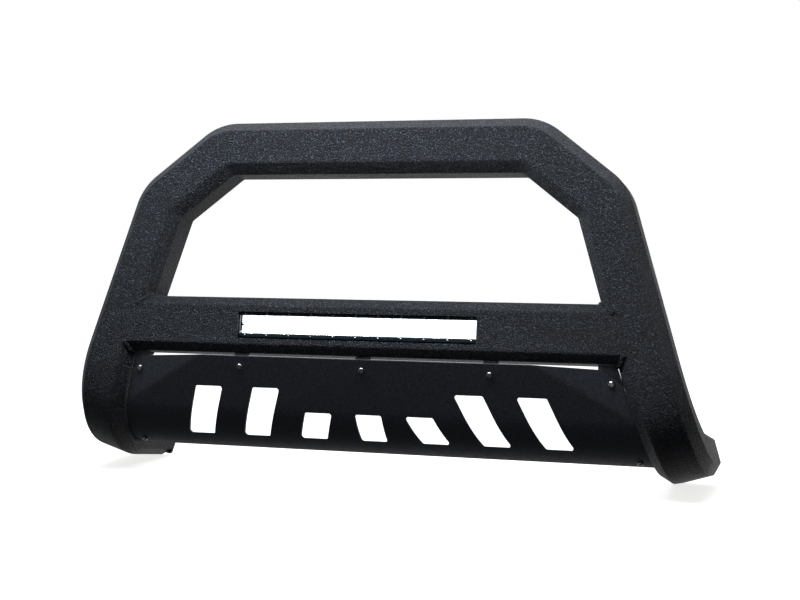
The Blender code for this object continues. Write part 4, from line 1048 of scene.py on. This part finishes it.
def makeBeads():
    lines = []
    for side in (-1, 1):
        for upper in (True, False):
            depths = (0.001, 0.0045, 0.008, bar["foldBack"], chamferBack, 0.045, bar["depth"] - 0.002)
            lines.append([jointPoint(side, depth, upper) for depth in depths])
    bm = bmesh.new()
    tree = beadTree()
    for index, line in enumerate(lines):
        path = helper("bead_path", pointsMesh("bead_path", line, chain=True))
        mesh = runTree(path, tree, {"Radius": weld["radius"], "Pitch": weld["ripplePitch"],
                                    "Jitter": weld["jitter"], "Seed": weld["seed"] + index})
        bm.from_mesh(mesh)
    mesh = meshFrom(bm, "weld_beads")
    mesh.transform(leanBack)
    return addPiece("crossbar_weld_beads", mesh, coarseBlack, "guard", smoothAngle=60.0)


makeBeads()
print("weld beads made")

# floor, light and world

studio = {
    "floorLift": 0.85,
    "keyPower": 12.5,
    "topPower": 26.0,
    "backdropGlow": 0.55,
    "floorReach": 30.0,
    "floorBelow": 0.0005,
    "domeTint": (0.93, 0.97, 1.04),
}
floorMesh = bpy.data.meshes.new("floor")
reach = studio["floorReach"]
floorZ = cadLow.z - studio["floorBelow"]
floorMesh.from_pydata([(-reach, -reach, floorZ), (reach, -reach, floorZ), (reach, reach, floorZ),
                       (-reach, reach, floorZ)], [], [(0, 1, 2, 3)])
floor = bpy.data.objects.new("floor", floorMesh)
scene.collection.objects.link(floor)
floorFinish, floorTree, floorShader, floorPlace = newFinish("pale paper floor", 0.9)
paper = addNode(floorTree, "ShaderNodeTexNoise", {"Vector": floorPlace, "Scale": 40.0})
blendColours(floorTree, floorShader, paper.outputs["Fac"], ((0.3, "f0f0ee"), (0.7, "f6f6f4")))
glowWith(floorShader, "f7f7f5", studio["floorLift"])
floorMesh.materials.append(floorFinish)
floor.visible_glossy = False
floor.visible_diffuse = False

world = bpy.data.worlds.new("studio")
scene.world = world
world.use_nodes = True
worldTree = world.node_tree
background = worldTree.nodes["Background"]
direction = addNode(worldTree, "ShaderNodeTexCoord").outputs["Generated"]
parts = addNode(worldTree, "ShaderNodeSeparateXYZ", {"Vector": direction})
dome = addNode(worldTree, "ShaderNodeValToRGB", {"Fac": addNode(worldTree, "ShaderNodeMapRange", {
    "Value": parts.outputs["Z"], "From Min": -1.0, "From Max": 1.0}).outputs["Result"]})
domeStops = ((0.0, 0.02), (0.2, 0.06), (0.275, 0.24), (0.4, 0.16), (0.5, 0.04), (0.6, 0.06), (1.0, 0.35))
for position, _ in domeStops[1:-1]:
    dome.color_ramp.elements.new(position)
for element, (position, level) in zip(dome.color_ramp.elements, domeStops):
    element.position = position
    element.color = (*(level * tint for tint in studio["domeTint"]), 1.0)
side = addNode(worldTree, "ShaderNodeMapRange", {
    "Value": parts.outputs["X"], "From Min": 0.15, "From Max": 0.75, "To Min": 1.0,
    "To Max": 0.12}, interpolation_type="SMOOTHSTEP")
shaded = addNode(worldTree, "ShaderNodeVectorMath", {0: dome.outputs["Color"],
                                                     "Scale": side.outputs["Result"]}, operation="SCALE")
behind = addNode(worldTree, "ShaderNodeMapRange", {
    "Value": parts.outputs["Y"], "From Min": 0.3, "From Max": 0.95, "To Min": 0.0,
    "To Max": studio["backdropGlow"]}, interpolation_type="SMOOTHSTEP")
lit = addNode(worldTree, "ShaderNodeVectorMath", {0: shaded.outputs[0], 1: behind.outputs["Result"]},
              operation="ADD")
seen = addNode(worldTree, "ShaderNodeLightPath").outputs["Is Camera Ray"]
shown = addNode(worldTree, "ShaderNodeMix", {"Factor": seen, 6: lit.outputs[0],
                                             7: (1.0, 1.0, 1.0, 1.0)}, data_type="RGBA")
worldTree.links.new(shown.outputs[2], background.inputs["Color"])


def softBox(name, place, target, size, power, colour):
    data = bpy.data.lights.new(name, "AREA")
    data.shape = "RECTANGLE"
    data.size, data.size_y = size
    data.energy = power
    data.color = linearColour(colour)[:3]
    box = bpy.data.objects.new(name, data)
    scene.collection.objects.link(box)
    box.location = place
    box.rotation_mode = "QUATERNION"
    box.rotation_quaternion = (Vector(target) - Vector(place)).to_track_quat("-Z", "Y")
    box.visible_camera = False


softBox("key", (-0.05, -0.62, 0.92), (-0.02, -0.2, 0.46), (1.2, 0.25), studio["keyPower"], "eef4ff")
softBox("top", (0.0, 0.5, 2.4), (0.0, -0.15, 0.2), (2.6, 1.6), studio["topPower"], "f6f9ff")
scene.view_settings.view_transform = "Standard"
print("studio made")
